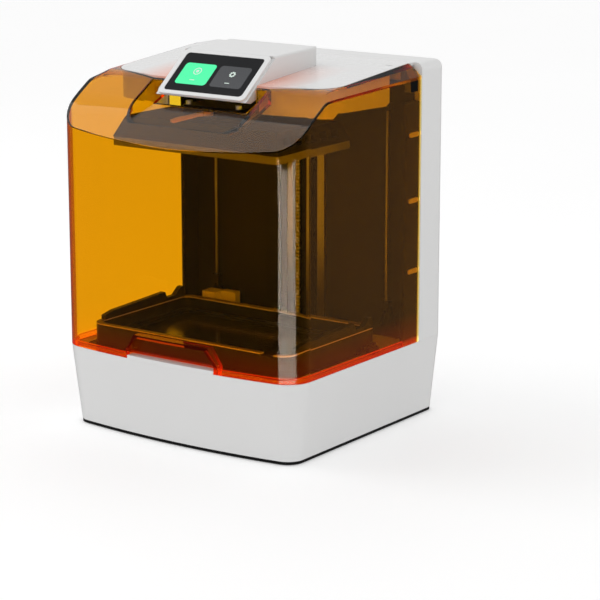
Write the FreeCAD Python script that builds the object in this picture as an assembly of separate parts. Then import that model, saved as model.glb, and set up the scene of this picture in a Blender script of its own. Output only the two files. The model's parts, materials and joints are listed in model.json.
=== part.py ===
import FreeCAD
import Part
import math
import os

# Desktop resin printer: a white base with a masking screen and a resin vat, a rear column
# with the lifting axis, a fixed roof that carries the touch screen, and a translucent hood
# that swings up on two rear pins.
# Millimetres. Origin under the middle of the footprint, +Z up, the front faces -Y.

# ---- driving dimensions -------------------------------------------------------------------
WIDTH = 306.0
FRONT_Y = -142.0            # middle of the bowed front
REAR_Y = 142.0
FRONT_BOW = 12.0            # how far the middle of the front stands ahead of its corners
FRONT_CORNER_R = 28.0
REAR_CORNER_R = 12.0
WALL = 3.0

TRAY_Z = 0.8                # underside of the bottom tray, on the rubber feet
BASE_Z0 = 4.0
BASE_TOP = 87.0             # seam between the base and the hood
BASE_TAPER = 9.5            # how far the base draws in on each side at its foot
DECK_TOP = 86.5
DECK_HALF_X = 134.0
DECK_Y0 = -119.0
DECK_Y1 = 54.0
DECK_R = 14.0
BOSS_PLACES = [(-118.0, -100.0), (118.0, -100.0), (-125.0, 116.0), (125.0, 116.0),
               (0.0, -118.0), (60.0, 122.0)]
BOSS_R = 5.0
BOSS_HEIGHT = 20.0
WEB_HEIGHT = 16.0
WEB_HALF_T = 1.2
SCREW_SHANK_R = 1.6
SCREW_HEAD_R = 3.2
FOOT_PLACES = [(sx * 112.0, y) for sx in (-1, 1) for y in (-102.0, 112.0)]
FOOT_R = 13.0
FOOT_SUNK = 1.2             # how far each rubber foot is let into the tray

COLUMN_Y = 95.0             # front face of the rear column
COLUMN_TOP = 386.0
COLUMN_EDGE_R = 8.0

HINGE_Y = 82.0
HINGE_Z = 374.0
HINGE_PIN_R = 3.0
RUNNING_GAP = 0.05

HOOD_GAP = 0.4              # seam under the hood
HOOD_REAR_Y = 94.0
RIM_HEIGHT = 5.0
RIM_THICKNESS = 6.0
RIM_REAR_Y = 66.0           # the thick rim ends ahead of the guides
ROOF_HALF_X = 142.4
ROOF_FRONT_Y = -66.0        # the roof's front edge runs straight, then slants back to its sides
ROOF_FRONT_HALF_X = 75.0
ROOF_SLANT_Y = -51.3
ROOF_FRONT_Z = 372.9
ROOF_T = 3.5
ROOF_CORNER_R = 28.0
ROOF_GAP = 0.7              # joint between the roof and the hood
ROOF_PLUG_PLACES = [(sx * 130.0, 68.0) for sx in (-1, 1)]
SKIRT_INSET = 2.0           # the skirt stands this far inside the roof's edge
SKIRT_T = 3.0
SKIRT_FOOT_Z = 343.0
SKIRT_REAR_Y = 50.0
SHOULDER_X = 143.0          # where the hood's sloping shoulder starts
SHOULDER_DRAW = 0.47        # how far that line moves in for each millimetre of wall

# the hood's front roll as corner points (Y, Z), each rounded off with its own radius: the brow
# over the front wall, a bulge in the long slope, and the crown; first the middle, then the sides
ROLL_CORNERS = [(-143.2, 312.8), (-106.5, 347.0), (-64.0, 373.0)]
SIDE_ROLL_CORNERS = [(-143.2, 312.8), (-106.5, 347.0), (-77.0, 366.0)]
ROLL_RADII = [10.0, 160.0, 40.0]
SIDE_ROLL_RADII = [10.0, 160.0, 26.0]
SIDE_REAR_Z = 372.5

SCREEN_Y = -33.5            # middle of the masking screen, vat and build plate
SCREEN_HALF_X = 109.6
SCREEN_HALF_Y = 65.6
SCREEN_TOP = 94.2
FILM_Z = 94.5
FILM_T = 0.2
RING_HALF_X = 115.5
RING_HALF_Y = 71.3
RING_Z0 = 90.5
LIGHT_HALF_X = 106.5        # light box under the screen
LIGHT_HALF_Y = 60.0
LIGHT_Z0 = 34.0
LENS_Z = 75.0
LENS_PITCH = 21.0
VAT_HALF_X = 128.0
VAT_Y0 = -112.0
VAT_Y1 = 50.0
VAT_RIM = 110.0
VAT_LIP_TOP = 97.0
RING_SCREWS = [(x, y) for x in (-80.0, -27.0, 27.0, 80.0) for y in (-68.9, 68.9)]
RING_SCREWS += [(x, y) for x in (-113.1, 113.1) for y in (-50.0, 0.0, 50.0)]
LATCH_X = 138.5
LATCH_Y = 22.0
LATCH_POST_R = 3.0
LATCH_DISC_R = 7.5

PLATE_HALF_X = 106.0
PLATE_Y0 = -97.0
PLATE_Y1 = 30.0
PLATE_Z = 301.0             # face of the build plate, at the top of its travel
PLATE_T = 8.0
BODY_TOP = 330.0
ARM_Z0 = 333.0
ARM_Z1 = 346.0
CARRIAGE_Z0 = 304.0
CARRIAGE_Z1 = 350.0
CARRIAGE_Y = 84.0
SCREW_Y = 93.0
SCREW_R = 4.0
PROFILE_Y = 106.0
PROFILE_TOP = 366.0
MOTOR_HALF = 21.0
MOTOR_Z0 = 44.0
BEARING_Z0 = 355.0
BEARING_Z1 = 364.0
RAIL_X = 19.0
LEVEL_PLACES = [(sx * 32.0, y) for sx in (-1, 1) for y in (-62.0, -14.0)]

LEVER_Y = -72.0             # the clamp lever turns about an upright pin here
LEVER_Z0 = 336.6
LEVER_Z1 = 341.6
LEVER_HUB_R = 6.0
LEVER_REACH = 40.0
LEVER_REST_DEG = -28.0      # the handle's direction at rest, from straight ahead
JAW_T = 3.0

HEAD_HALF_X = 58.0
HEAD_REAR_Y = 40.0
HEAD_REAR_Z = 402.0
CHIN_BOTTOM = (-76.5, 355.5)    # Y, Z of the lowest edge of the head's chin
HEAD_PLUG_PLACES = [(sx * 47.7, y) for sx in (-1, 1) for y in (-19.5, 0.3)]
HEAD_R = 2.5
CHIN_REAR_Y = -52.0         # the head's chin fills a notch in the roof's front edge
CHIN_REAR_Z = 364.0
BEZEL_LOW = (-86.4, 359.6)  # Y, Z of the lower edge of the sloping screen frame
BEZEL_HIGH = (-36.2, 399.3)
BEZEL_WIDTH = 112.4
BEZEL_T = 3.0
GLASS_WIDTH = 100.0
GLASS_LENGTH = 54.0
GLASS_T = 2.0
HEAD_SWEEP_R = 170.6        # hood material near the head stays outside this radius

NOTCH_HALF_X = 57.0         # finger notch at the foot of the hood
NOTCH_TOP_HALF_X = 45.0
NOTCH_TOP = 110.0
NOTCH_FLOOR = 91.0
NOTCH_BACK_Y = -131.0

SCOOP_HALF_X = 77.0         # hollow in the hood in front of the screen
SCOOP_FRONT_Y = -123.0
SCOOP_FRONT_Z = 331.8
SCOOP_REAR_Z = 357.0
SCOOP_CORNER_R = 24.0

PANEL_HALF_X = 142.5
PANEL_TOP = 362.0
PANEL_SLOT_HALF_X = 32.0
PANEL_SCREWS = [(sx * 128.0, z) for sx in (-1, 1) for z in (110.0, 232.0, 352.0)]
GUIDE_X0 = 143.0            # upright cheeks inside the hood's rear edge
GUIDE_X1 = 148.4
TAB_HEIGHTS = (166.0, 242.0, 312.0)

PIPE_X = 113.5
PIPE_Y = 88.0
PIPE_R = 1.6
PIPE_Z0 = 124.0
PIPE_Z1 = 336.0

EXHAUST_X = 80.0
EXHAUST_Z = 300.0
EXHAUST_SIZE = 60.0
LAMP_FAN_Y = -33.5
LAMP_FAN_Z = 34.0
LAMP_FAN_SIZE = 40.0

INLET_X = 110.0             # openings in the back: middle and half sizes
INLET_HALF_X = 14.0
ROCKER_X = 76.0
ROCKER_HALF_X = 10.0
USB_X = 44.0
USB_HALF_X = 8.0
USB_HALF_Z = 4.5
SOCKET_Z = 44.0
SOCKET_HALF_Z = 10.5
SOCKET_FIT = 0.2            # play round each socket in its opening
SOCKET_FACE_Y = 141.6       # outer faces of the sockets, a little inside the back
CABLE_HOLE = (-60.0, -38.0, 104.0, 130.0)
ROCKER_Y = 135.5
ROCKER_TILT = 8.0

os.makedirs("parts", exist_ok=True)
HALF_W = WIDTH / 2.0
X_AXIS = FreeCAD.Vector(1, 0, 0)
Y_AXIS = FreeCAD.Vector(0, 1, 0)
Z_AXIS = FreeCAD.Vector(0, 0, 1)


# ---- small helpers ------------------------------------------------------------------------
def vec(x, y, z):
    return FreeCAD.Vector(x, y, z)


def box(x0, x1, y0, y1, z0, z1):
    return Part.makeBox(x1 - x0, y1 - y0, z1 - z0, vec(x0, y0, z0))


def cylinder(radius, start, axis, length):
    return Part.makeCylinder(radius, length, start, axis)


def mirrored(shape):
    """The same shape on the other side of the middle plane X = 0."""
    return shape.mirror(vec(0, 0, 0), X_AXIS)


def both_sides(shape):
    return Part.makeCompound([shape, mirrored(shape)])


def fused(shapes):
    whole = shapes[0].fuse(shapes[1:])
    return whole.removeSplitter()


def minus(shape, *tools):
    for tool in tools:
        shape = shape.cut(tool)
    return shape


def group(shapes):
    return Part.makeCompound(list(shapes))


def side_prism(points, x0, x1):
    """Polygon of (Y, Z) points, extruded along X."""
    wire = Part.makePolygon([vec(x0, y, z) for y, z in points + points[:1]])
    return Part.Face(wire).extrude(vec(x1 - x0, 0, 0))


def front_prism(points, y0, y1):
    """Polygon of (X, Z) points, extruded along Y."""
    wire = Part.makePolygon([vec(x, y0, z) for x, z in points + points[:1]])
    return Part.Face(wire).extrude(vec(0, y1 - y0, 0))


def rounded_rectangle(x0, x1, y0, y1, radius, z0, z1):
    """Upright block with rounded vertical edges."""
    block = box(x0, x1, y0, y1, z0, z1)
    uprights = [edge for edge in block.Edges if abs(edge.tangentAt(edge.FirstParameter).z) > 0.9]
    return block.makeFillet(radius, uprights)


def edges_where(shape, test):
    """Edges of a shape whose middle passes the test."""
    found = []
    for edge in shape.Edges:
        middle = edge.valueAt((edge.FirstParameter + edge.LastParameter) / 2.0)
        if test(edge, middle):
            found.append(edge)
    return found


def export(name, shape):
    shape.exportStep(os.path.join("parts", name + ".step"))


# ---- the footprint ------------------------------------------------------------------------
BOW_R = (FRONT_BOW ** 2 + HALF_W ** 2) / (2.0 * FRONT_BOW)
BOW_Y = FRONT_Y + BOW_R


def footprint(inset, y_rear, r_rear, z):
    """Closed outline at height z: bowed front, round front corners, straight sides."""
    half = HALF_W - inset
    radius = FRONT_CORNER_R - inset
    bow = BOW_R - inset
    cx = half - radius
    cy = BOW_Y - math.sqrt((bow - radius) ** 2 - cx ** 2)
    lean = math.atan2(cx, BOW_Y - cy)
    tip_x = bow * math.sin(lean)
    tip_y = BOW_Y - bow * math.cos(lean)
    middle = lean + (math.pi / 2.0 - lean) / 2.0
    mid_x = cx + radius * math.sin(middle)
    mid_y = cy - radius * math.cos(middle)

    def arc(*points):
        return Part.Arc(*[vec(x, y, z) for x, y in points]).toShape()

    def line(a, b):
        return Part.LineSegment(vec(a[0], a[1], z), vec(b[0], b[1], z)).toShape()

    edges = [arc((-tip_x, tip_y), (0, BOW_Y - bow), (tip_x, tip_y)),
             arc((tip_x, tip_y), (mid_x, mid_y), (half, cy))]
    if r_rear > 0:
        bend = r_rear * (1.0 - math.sqrt(0.5))
        edges += [line((half, cy), (half, y_rear - r_rear)),
                  arc((half, y_rear - r_rear), (half - bend, y_rear - bend), (half - r_rear, y_rear)),
                  line((half - r_rear, y_rear), (r_rear - half, y_rear)),
                  arc((r_rear - half, y_rear), (bend - half, y_rear - bend), (-half, y_rear - r_rear)),
                  line((-half, y_rear - r_rear), (-half, cy))]
    else:
        edges += [line((half, cy), (half, y_rear)),
                  line((half, y_rear), (-half, y_rear)),
                  line((-half, y_rear), (-half, cy))]
    edges.append(arc((-half, cy), (-mid_x, mid_y), (-tip_x, tip_y)))
    return Part.Wire(edges)


def footprint_block(inset, y_rear, r_rear, z0, z1):
    return Part.Face(footprint(inset, y_rear, r_rear, z0)).extrude(vec(0, 0, z1 - z0))


def base_block(inset, y_rear, r_rear, z0, z1):
    """The tapered base between two heights, drawn in by inset all round."""
    slope = BASE_TAPER / (BASE_TOP - BASE_Z0)
    low = footprint(inset + slope * (BASE_TOP - z0), y_rear, r_rear, z0)
    high = footprint(inset + slope * (BASE_TOP - z1), y_rear, r_rear, z1)
    return Part.makeLoft([low, high], True, True)


# ---- the hood's volume --------------------------------------------------------------------
def toward(a, b, distance):
    """The point at this distance from a on the way to b."""
    length = math.hypot(b[0] - a[0], b[1] - a[1])
    return (a[0] + distance * (b[0] - a[0]) / length, a[1] + distance * (b[1] - a[1]) / length)


def rounded_corner(before, corner, after, radius, inset):
    """Start, middle and end of the arc that rounds a corner, moved towards the inside."""
    turn = math.atan2(after[1] - corner[1], after[0] - corner[0]) \
        - math.atan2(corner[1] - before[1], corner[0] - before[0])
    run = radius * math.tan(abs(turn) / 2.0)
    start = toward(corner, before, run)
    end = toward(corner, after, run)
    chord_middle = ((start[0] + end[0]) / 2.0, (start[1] + end[1]) / 2.0)
    centre = toward(corner, chord_middle, radius / math.cos(turn / 2.0))
    middle = toward(centre, corner, radius - inset)
    return [toward(start, centre, inset), middle, toward(end, centre, inset)]


def profile_wire(x, corners, radii, roof_line, rear_corner, foot, inset):
    """Side outline at one X: rounded front roll, straight top, round top rear corner."""
    def line(a, b):
        return Part.LineSegment(vec(x, *a), vec(x, *b)).toShape()

    def arc(a, b, c):
        return Part.Arc(vec(x, *a), vec(x, *b), vec(x, *c)).toShape()

    route = [(corners[0][0], foot)] + corners + [roof_line]
    edges = []
    last = (corners[0][0] + inset, foot)
    for i, radius in enumerate(radii):
        bend = rounded_corner(route[i], route[i + 1], route[i + 2], radius, inset)
        edges += [line(last, bend[0]), arc(*bend)]
        last = bend[2]
    rear_foot = (rear_corner[2][0], foot)
    edges += [line(last, rear_corner[0]), arc(*rear_corner), line(rear_corner[2], rear_foot),
              line(rear_foot, (corners[0][0] + inset, foot))]
    return Part.Wire(edges)


def hood_block(inset, foot, rear):
    """Everything under the hood's skin, drawn in by inset; its rear face lies at Y = rear."""
    corner_r = COLUMN_TOP - HINGE_Z - inset
    lift = rear - HOOD_REAR_Y
    bend = corner_r * math.sqrt(0.5)
    middle_corner = [(HINGE_Y + lift, COLUMN_TOP - inset),
                     (HINGE_Y + lift + bend, HINGE_Z + bend),
                     (HINGE_Y + lift + corner_r + inset, HINGE_Z)]
    nip = 1.0
    side_top = SIDE_REAR_Z - inset
    side_corner = [(rear - nip, side_top), (rear - 0.3 * nip, side_top - 0.3 * nip),
                   (rear, side_top - nip)]
    x_mid = SHOULDER_X - SHOULDER_DRAW * inset
    middle = (ROLL_CORNERS, ROLL_RADII, (HINGE_Y, COLUMN_TOP), middle_corner, foot, inset)
    sides = (SIDE_ROLL_CORNERS, SIDE_ROLL_RADII, (HOOD_REAR_Y, SIDE_REAR_Z), side_corner, foot, inset)
    core = Part.Face(profile_wire(-x_mid, *middle)).extrude(vec(2.0 * x_mid, 0, 0))
    inner = profile_wire(x_mid, *middle)
    outer = profile_wire(HALF_W - inset, *sides)
    shoulder = Part.makeLoft([inner, outer], True, True)
    whole = core.fuse([shoulder, mirrored(shoulder)])
    return whole.common(footprint_block(inset, rear, 0, foot, COLUMN_TOP + 20.0))


def scoop_block(grow):
    """The hollow in front of the screen: round-cornered in plan, with a sloping floor."""
    y_rear = ROOF_FRONT_Y - ROOF_GAP - WALL + grow
    half = SCOOP_HALF_X - WALL + grow
    y_front = SCOOP_FRONT_Y - grow
    plan = box(-half, half, y_front, y_rear, 320.0, 400.0)
    radius = SCOOP_CORNER_R + grow
    fronts = edges_where(plan, lambda edge, p: abs(p.z - 360.0) < 1.0 and p.y < y_front + 1.0)
    plan = plan.makeFillet(radius, fronts)
    slope = (SCOOP_REAR_Z - SCOOP_FRONT_Z) / (ROOF_FRONT_Y - SCOOP_FRONT_Y)
    low_y = SCOOP_FRONT_Y - 20.0
    high_y = ROOF_FRONT_Y + 20.0
    low_z = SCOOP_FRONT_Z - 20.0 * slope - grow
    high_z = SCOOP_REAR_Z + 20.0 * slope - grow
    above = side_prism([(low_y, low_z), (high_y, high_z), (high_y, 420.0), (low_y, 420.0)],
                       -200.0, 200.0)
    return plan.common(above)


def notch_block(grow):
    """The finger notch: narrower at its top, let into the front wall."""
    low = NOTCH_HALF_X + grow
    high = NOTCH_TOP_HALF_X + grow
    top = NOTCH_TOP + grow
    foot = BASE_TOP - 10.0
    return front_prism([(-low, foot), (-low, BASE_TOP + 8.0), (-high, top), (high, top),
                        (low, BASE_TOP + 8.0), (low, foot)], FRONT_Y - 10.0, NOTCH_BACK_Y + grow)


def roof_plan(gap, z0, z1, y_rear):
    """Upright block with the roof's plan: slanting front edge, round corners, straight sides."""
    half = ROOF_HALF_X + gap
    front = ROOF_FRONT_Y - gap
    slant = ROOF_SLANT_Y - gap
    outline = [(half, y_rear), (half, slant), (ROOF_FRONT_HALF_X, front),
               (-ROOF_FRONT_HALF_X, front), (-half, slant), (-half, y_rear)]
    wire = Part.makePolygon([vec(x, y, z0) for x, y in outline + outline[:1]])
    block = Part.Face(wire).extrude(vec(0, 0, z1 - z0))
    middle = (z0 + z1) / 2.0
    corners = edges_where(block, lambda edge, p: abs(p.z - middle) < 1.0 and abs(p.x) > half - 1.0
                          and p.y < slant + 1.0)
    return block.makeFillet(ROOF_CORNER_R + gap, corners)


def make_hood():
    foot = BASE_TOP + HOOD_GAP
    skin = hood_block(0.0, foot, HOOD_REAR_Y)
    hollow = hood_block(WALL, foot - 20.0, HOOD_REAR_Y + 20.0)
    hollow = hollow.cut(scoop_block(WALL)).cut(notch_block(WALL))
    rim = footprint_block(WALL - 0.5, RIM_REAR_Y, 0, foot, foot + RIM_HEIGHT)
    rim = rim.cut(footprint_block(RIM_THICKNESS, HOOD_REAR_Y + 20.0, 0, foot - 1.0,
                                  foot + RIM_HEIGHT + 1.0))
    hollow = hollow.cut(rim)
    shell = skin.cut(scoop_block(0.0)).cut(notch_block(0.0)).cut(hollow)
    shell = shell.cut(roof_plan(ROOF_GAP, 340.0, 420.0, HOOD_REAR_Y + 20.0))
    head_sweep = cylinder(HEAD_SWEEP_R, vec(-HEAD_HALF_X - 2.0, HINGE_Y, HINGE_Z), X_AXIS,
                          2.0 * HEAD_HALF_X + 4.0)
    shell = shell.cut(head_sweep)
    gap_box = box(-NOTCH_HALF_X, NOTCH_HALF_X, FRONT_Y - 10.0, NOTCH_BACK_Y + 20.0,
                  foot - 5.0, NOTCH_FLOOR)
    return shell.cut(gap_box)


# ---- base ---------------------------------------------------------------------------------
def tray_screw(x, y):
    shank = cylinder(SCREW_SHANK_R, vec(x, y, TRAY_Z + 1.6), Z_AXIS, 12.0)
    head = cylinder(SCREW_HEAD_R, vec(x, y, TRAY_Z + 0.2), Z_AXIS, 1.6)
    return shank.fuse(head)


def make_base_shell():
    outer = base_block(0.0, REAR_Y, REAR_CORNER_R, BASE_Z0, BASE_TOP)
    inner = base_block(WALL, REAR_Y - WALL, REAR_CORNER_R - WALL, BASE_Z0 - 1.0, BASE_TOP - WALL)
    shell = outer.cut(inner)
    deck = rounded_rectangle(-DECK_HALF_X, DECK_HALF_X, DECK_Y0, DECK_Y1, DECK_R,
                             BASE_TOP - WALL - 1.0, BASE_TOP + 1.0)
    lip = footprint_block(0.0, REAR_Y, 0, BASE_TOP - 1.0, NOTCH_FLOOR - HOOD_GAP)
    lip = lip.common(box(-NOTCH_HALF_X + 0.6, NOTCH_HALF_X - 0.6, FRONT_Y - 5.0,
                         NOTCH_BACK_Y + 4.0, BASE_TOP - 1.0, NOTCH_FLOOR))
    bosses = [cylinder(BOSS_R, vec(x, y, BASE_Z0), Z_AXIS, BOSS_HEIGHT) for x, y in BOSS_PLACES]
    web_top = BASE_Z0 + WEB_HEIGHT
    webs = []
    for x, y in BOSS_PLACES:
        if abs(x) > 100.0:
            wall_x = math.copysign(HALF_W, x)
            webs.append(box(min(x, wall_x), max(x, wall_x), y - WEB_HALF_T, y + WEB_HALF_T,
                            BASE_Z0, web_top))
        else:
            wall_y = math.copysign(REAR_Y, y)
            webs.append(box(x - WEB_HALF_T, x + WEB_HALF_T, min(y, wall_y), max(y, wall_y),
                            BASE_Z0, web_top))
    webs = [web.common(outer) for web in webs]
    shell = shell.fuse([lip] + bosses + webs).cut(deck)
    holes = [tray_screw(x, y) for x, y in BOSS_PLACES]
    holes.append(cylinder(10.5, vec(0, SCREW_Y, BASE_TOP - 5.0), Z_AXIS, 10.0))
    holes += [cylinder(LATCH_POST_R + RUNNING_GAP, vec(side * LATCH_X, LATCH_Y, BASE_TOP - 5.0),
                       Z_AXIS, 10.0) for side in (-1, 1)]
    holes.append(box(*CABLE_HOLE, BASE_TOP - 5.0, BASE_TOP + 1.0))
    for x, half_x, half_z in ((INLET_X, INLET_HALF_X, SOCKET_HALF_Z),
                              (ROCKER_X, ROCKER_HALF_X, SOCKET_HALF_Z),
                              (USB_X, USB_HALF_X, USB_HALF_Z)):
        holes.append(box(x - half_x, x + half_x, REAR_Y - 6.0, REAR_Y + 1.0,
                         SOCKET_Z - half_z, SOCKET_Z + half_z))
    holes += [box(x - 1.5, x + 1.5, REAR_Y - 6.0, REAR_Y + 1.0, 28.0, 66.0)
              for x in range(-110, -20, 8)]
    return minus(shell, *holes)


def make_bottom_tray():
    tray = footprint_block(BASE_TAPER + 0.3, REAR_Y - 0.3, REAR_CORNER_R - 0.3, TRAY_Z, BASE_Z0)
    slots = [box(x - 1.5, x + 1.5, -60.0, 0.0, TRAY_Z - 1.0, BASE_Z0 + 1.0)
             for x in range(-44, 45, 8)]
    screws = [tray_screw(x, y) for x, y in BOSS_PLACES]
    feet = [rubber_foot(x, y) for x, y in FOOT_PLACES]
    return minus(tray, *slots, *screws, *feet)


def rubber_foot(x, y):
    return cylinder(FOOT_R, vec(x, y, 0.0), Z_AXIS, TRAY_Z + FOOT_SUNK)


def make_rubber_feet():
    """Round feet let into the tray; each hides one of the tray's screws."""
    screws = [tray_screw(x, y) for x, y in BOSS_PLACES]
    return group(minus(rubber_foot(x, y), *screws) for x, y in FOOT_PLACES)


def make_deck_plate():
    plate = rounded_rectangle(-DECK_HALF_X + 0.4, DECK_HALF_X - 0.4, DECK_Y0 + 0.4, DECK_Y1 - 0.4,
                              DECK_R - 0.4, DECK_TOP - 2.5, DECK_TOP)
    hole = box(-SCREEN_HALF_X - 0.4, SCREEN_HALF_X + 0.4, SCREEN_Y - SCREEN_HALF_Y - 0.4,
               SCREEN_Y + SCREEN_HALF_Y + 0.4, DECK_TOP - 5.0, DECK_TOP + 1.0)
    return plate.cut(hole)


def centred(half_x, half_y, z0, z1):
    """Block centred on the masking screen."""
    return box(-half_x, half_x, SCREEN_Y - half_y, SCREEN_Y + half_y, z0, z1)


def make_screen_mount():
    frame = centred(SCREEN_HALF_X, SCREEN_HALF_Y, 78.0, SCREEN_TOP - 1.6)
    return frame.cut(centred(SCREEN_HALF_X - 3.4, SCREEN_HALF_Y - 6.2, 70.0, 100.0))


def make_light_box():
    outer = centred(LIGHT_HALF_X, LIGHT_HALF_Y, LIGHT_Z0, LENS_Z)
    sheet = 1.5
    return outer.cut(centred(LIGHT_HALF_X - sheet, LIGHT_HALF_Y - sheet, LIGHT_Z0 - 4.0, LENS_Z + 5.0))


def make_lens_array():
    """A clear plate with a grid of low round lenses on its upper face."""
    lens_foot = LENS_Z + 1.5
    plate = centred(LIGHT_HALF_X, LIGHT_HALF_Y, LENS_Z, lens_foot)
    lenses = []
    for column in range(-4, 5):
        for row in range(-2, 3):
            place = vec(column * LENS_PITCH, SCREEN_Y + row * LENS_PITCH, lens_foot)
            lenses.append(cylinder(9.5, place, Z_AXIS, 1.2))
    return fused([plate] + lenses)


def make_led_board():
    board = centred(98.0, 52.0, 32.0, 33.6)
    chips = [box(x - 2.0, x + 2.0, SCREEN_Y + y - 2.0, SCREEN_Y + y + 2.0, 33.6, 34.6)
             for x in range(-84, 85, 21) for y in (-42, -21, 0, 21, 42)]
    return fused([board] + chips)


def make_heat_sink():
    plate = centred(100.0, 54.0, 28.0, 32.0)
    fins = [box(-100.0, 100.0, SCREEN_Y + y - 0.8, SCREEN_Y + y + 0.8, 14.0, 28.0)
            for y in range(-52, 53, 8)]
    return fused([plate] + fins)


def fan_frame(size, depth):
    """Square fan housing centred on the origin, axis along Z, with a hub held by three arms."""
    half = size / 2.0
    body = rounded_rectangle(-half, half, -half, half, 3.0, 0.0, depth)
    body = body.cut(cylinder(half - 2.0, vec(0, 0, -1), Z_AXIS, depth + 2.0))
    hub = cylinder(size * 0.2, vec(0, 0, 0), Z_AXIS, 2.0)
    arms = []
    for turn in (0.0, 120.0, 240.0):
        arm = box(0.0, half - 1.0, -1.5, 1.5, 0.0, 2.0)
        arm.rotate(vec(0, 0, 0), Z_AXIS, turn)
        arms.append(arm)
    corner = half - 4.5
    holes = [cylinder(1.7, vec(sx * corner, sy * corner, -1), Z_AXIS, depth + 2.0)
             for sx in (-1, 1) for sy in (-1, 1)]
    spindle = cylinder(2.0 + RUNNING_GAP, vec(0, 0, -1), Z_AXIS, 4.0)
    return minus(fused([body, hub] + arms), spindle, *holes)


def fan_rotor(size, depth):
    """Hub, spindle and seven pitched blades that turn inside a fan housing."""
    half = size / 2.0
    hub = cylinder(size * 0.2, vec(0, 0, 2.8), Z_AXIS, depth - 3.8)
    spindle = cylinder(2.0, vec(0, 0, 0.4), Z_AXIS, 4.0)
    blades = []
    span = half - 3.4
    for i in range(7):
        blade = box(size * 0.2 - 2.0, span, -0.8, 0.8, -(depth - 5.0) / 2.0, (depth - 5.0) / 2.0)
        blade.rotate(vec(0, 0, 0), X_AXIS, 32.0)
        blade.translate(vec(0, 0, 2.8 + (depth - 3.8) / 2.0))
        blade.rotate(vec(0, 0, 0), Z_AXIS, i * 360.0 / 7.0)
        blades.append(blade)
    return fused([hub, spindle] + blades)


def place_lamp_fan(shape):
    shape.rotate(vec(0, 0, 0), Y_AXIS, 90.0)
    shape.translate(vec(109.0, LAMP_FAN_Y, LAMP_FAN_Z))
    return shape


def place_exhaust_fan(shape):
    shape.rotate(vec(0, 0, 0), X_AXIS, -90.0)
    shape.translate(vec(EXHAUST_X, 123.0, EXHAUST_Z))
    return shape


def make_power_supply():
    case = box(-136.0, -110.0, -60.0, 60.0, 10.0, 70.0)
    vents = [box(-140.0, -134.5, y, y + 3.0, 20.0, 60.0) for y in range(-50, 50, 8)]
    return minus(case, *vents)


def make_main_board():
    board = box(-100.0, -26.0, 34.0, 128.0, 12.0, 13.6)
    blocks = [box(-90.0, -66.0, 50.0, 74.0, 13.6, 22.0), box(-56.0, -44.0, 44.0, 56.0, 13.6, 18.0),
              box(-56.0, -44.0, 64.0, 76.0, 13.6, 18.0), box(-94.0, -40.0, 112.0, 124.0, 13.6, 24.0)]
    return fused([board] + blocks)


# ---- sockets on the back ------------------------------------------------------------------
def socket_body(x, half_x, half_z, y_front):
    """Block that fills an opening in the back, from y_front to just inside the back."""
    half_x = half_x - SOCKET_FIT
    half_z = half_z - SOCKET_FIT
    return box(x - half_x, x + half_x, y_front, SOCKET_FACE_Y, SOCKET_Z - half_z, SOCKET_Z + half_z)


def make_power_inlet():
    """Three-pin appliance inlet, sunk so that nothing stands proud of the back."""
    body = socket_body(INLET_X, INLET_HALF_X, SOCKET_HALF_Z, 118.0)
    hollow = box(INLET_X - 12.0, INLET_X + 12.0, 124.0, REAR_Y + 1.0, SOCKET_Z - 8.2, SOCKET_Z + 8.2)
    pins = [box(INLET_X + x - 1.0, INLET_X + x + 1.0, 120.0, 138.0, SOCKET_Z + z - 2.0,
                SOCKET_Z + z + 2.0) for x, z in ((-7.0, -2.0), (0.0, 2.0), (7.0, -2.0))]
    return fused([body.cut(hollow)] + pins)


def make_rocker_paddle():
    paddle = side_prism([(-4.0, -4.5), (4.2, -6.0), (2.6, 0.0), (4.2, 6.0), (-4.0, 4.5)],
                        ROCKER_X - 7.0, ROCKER_X + 7.0)
    pin = cylinder(1.5, vec(ROCKER_X - 8.6, 0, 0), X_AXIS, 17.2)
    rocker = paddle.fuse(pin)
    rocker.rotate(vec(0, 0, 0), X_AXIS, -ROCKER_TILT)
    rocker.translate(vec(0, ROCKER_Y, SOCKET_Z))
    return rocker


def make_rocker_housing():
    body = socket_body(ROCKER_X, ROCKER_HALF_X, SOCKET_HALF_Z, 122.0)
    hollow = box(ROCKER_X - 7.2, ROCKER_X + 7.2, 126.0, REAR_Y + 1.0, SOCKET_Z - 7.6, SOCKET_Z + 7.6)
    seat = cylinder(1.5 + RUNNING_GAP, vec(ROCKER_X - 8.8, ROCKER_Y, SOCKET_Z), X_AXIS, 17.6)
    return minus(body, hollow, seat)


def make_usb_port():
    body = socket_body(USB_X, USB_HALF_X, USB_HALF_Z, 124.0)
    hollow = box(USB_X - 6.3, USB_X + 6.3, 130.0, REAR_Y + 1.0, SOCKET_Z - 2.7, SOCKET_Z + 2.7)
    tongue = box(USB_X - 5.5, USB_X + 5.5, 128.0, 140.0, SOCKET_Z + 0.2, SOCKET_Z + 2.0)
    return fused([body.cut(hollow), tongue])


# ---- vat ----------------------------------------------------------------------------------
def ring_screw(x, y):
    shank = cylinder(1.3, vec(x, SCREEN_Y + y, RING_Z0 + 0.6), Z_AXIS, 5.2)
    head = cylinder(2.0, vec(x, SCREEN_Y + y, RING_Z0 + 0.2), Z_AXIS, 1.4)
    return shank.fuse(head)


def make_ring_screws():
    return group(ring_screw(x, y) for x, y in RING_SCREWS)


def make_film_ring():
    ring = centred(RING_HALF_X, RING_HALF_Y, RING_Z0, FILM_Z)
    ring = ring.cut(centred(SCREEN_HALF_X + 0.9, SCREEN_HALF_Y + 0.7, RING_Z0 - 1.0, FILM_Z + 1.0))
    return ring.cut(make_ring_screws())


def make_release_film():
    film = centred(RING_HALF_X, RING_HALF_Y, FILM_Z, FILM_Z + FILM_T)
    return film.cut(make_ring_screws())


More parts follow.
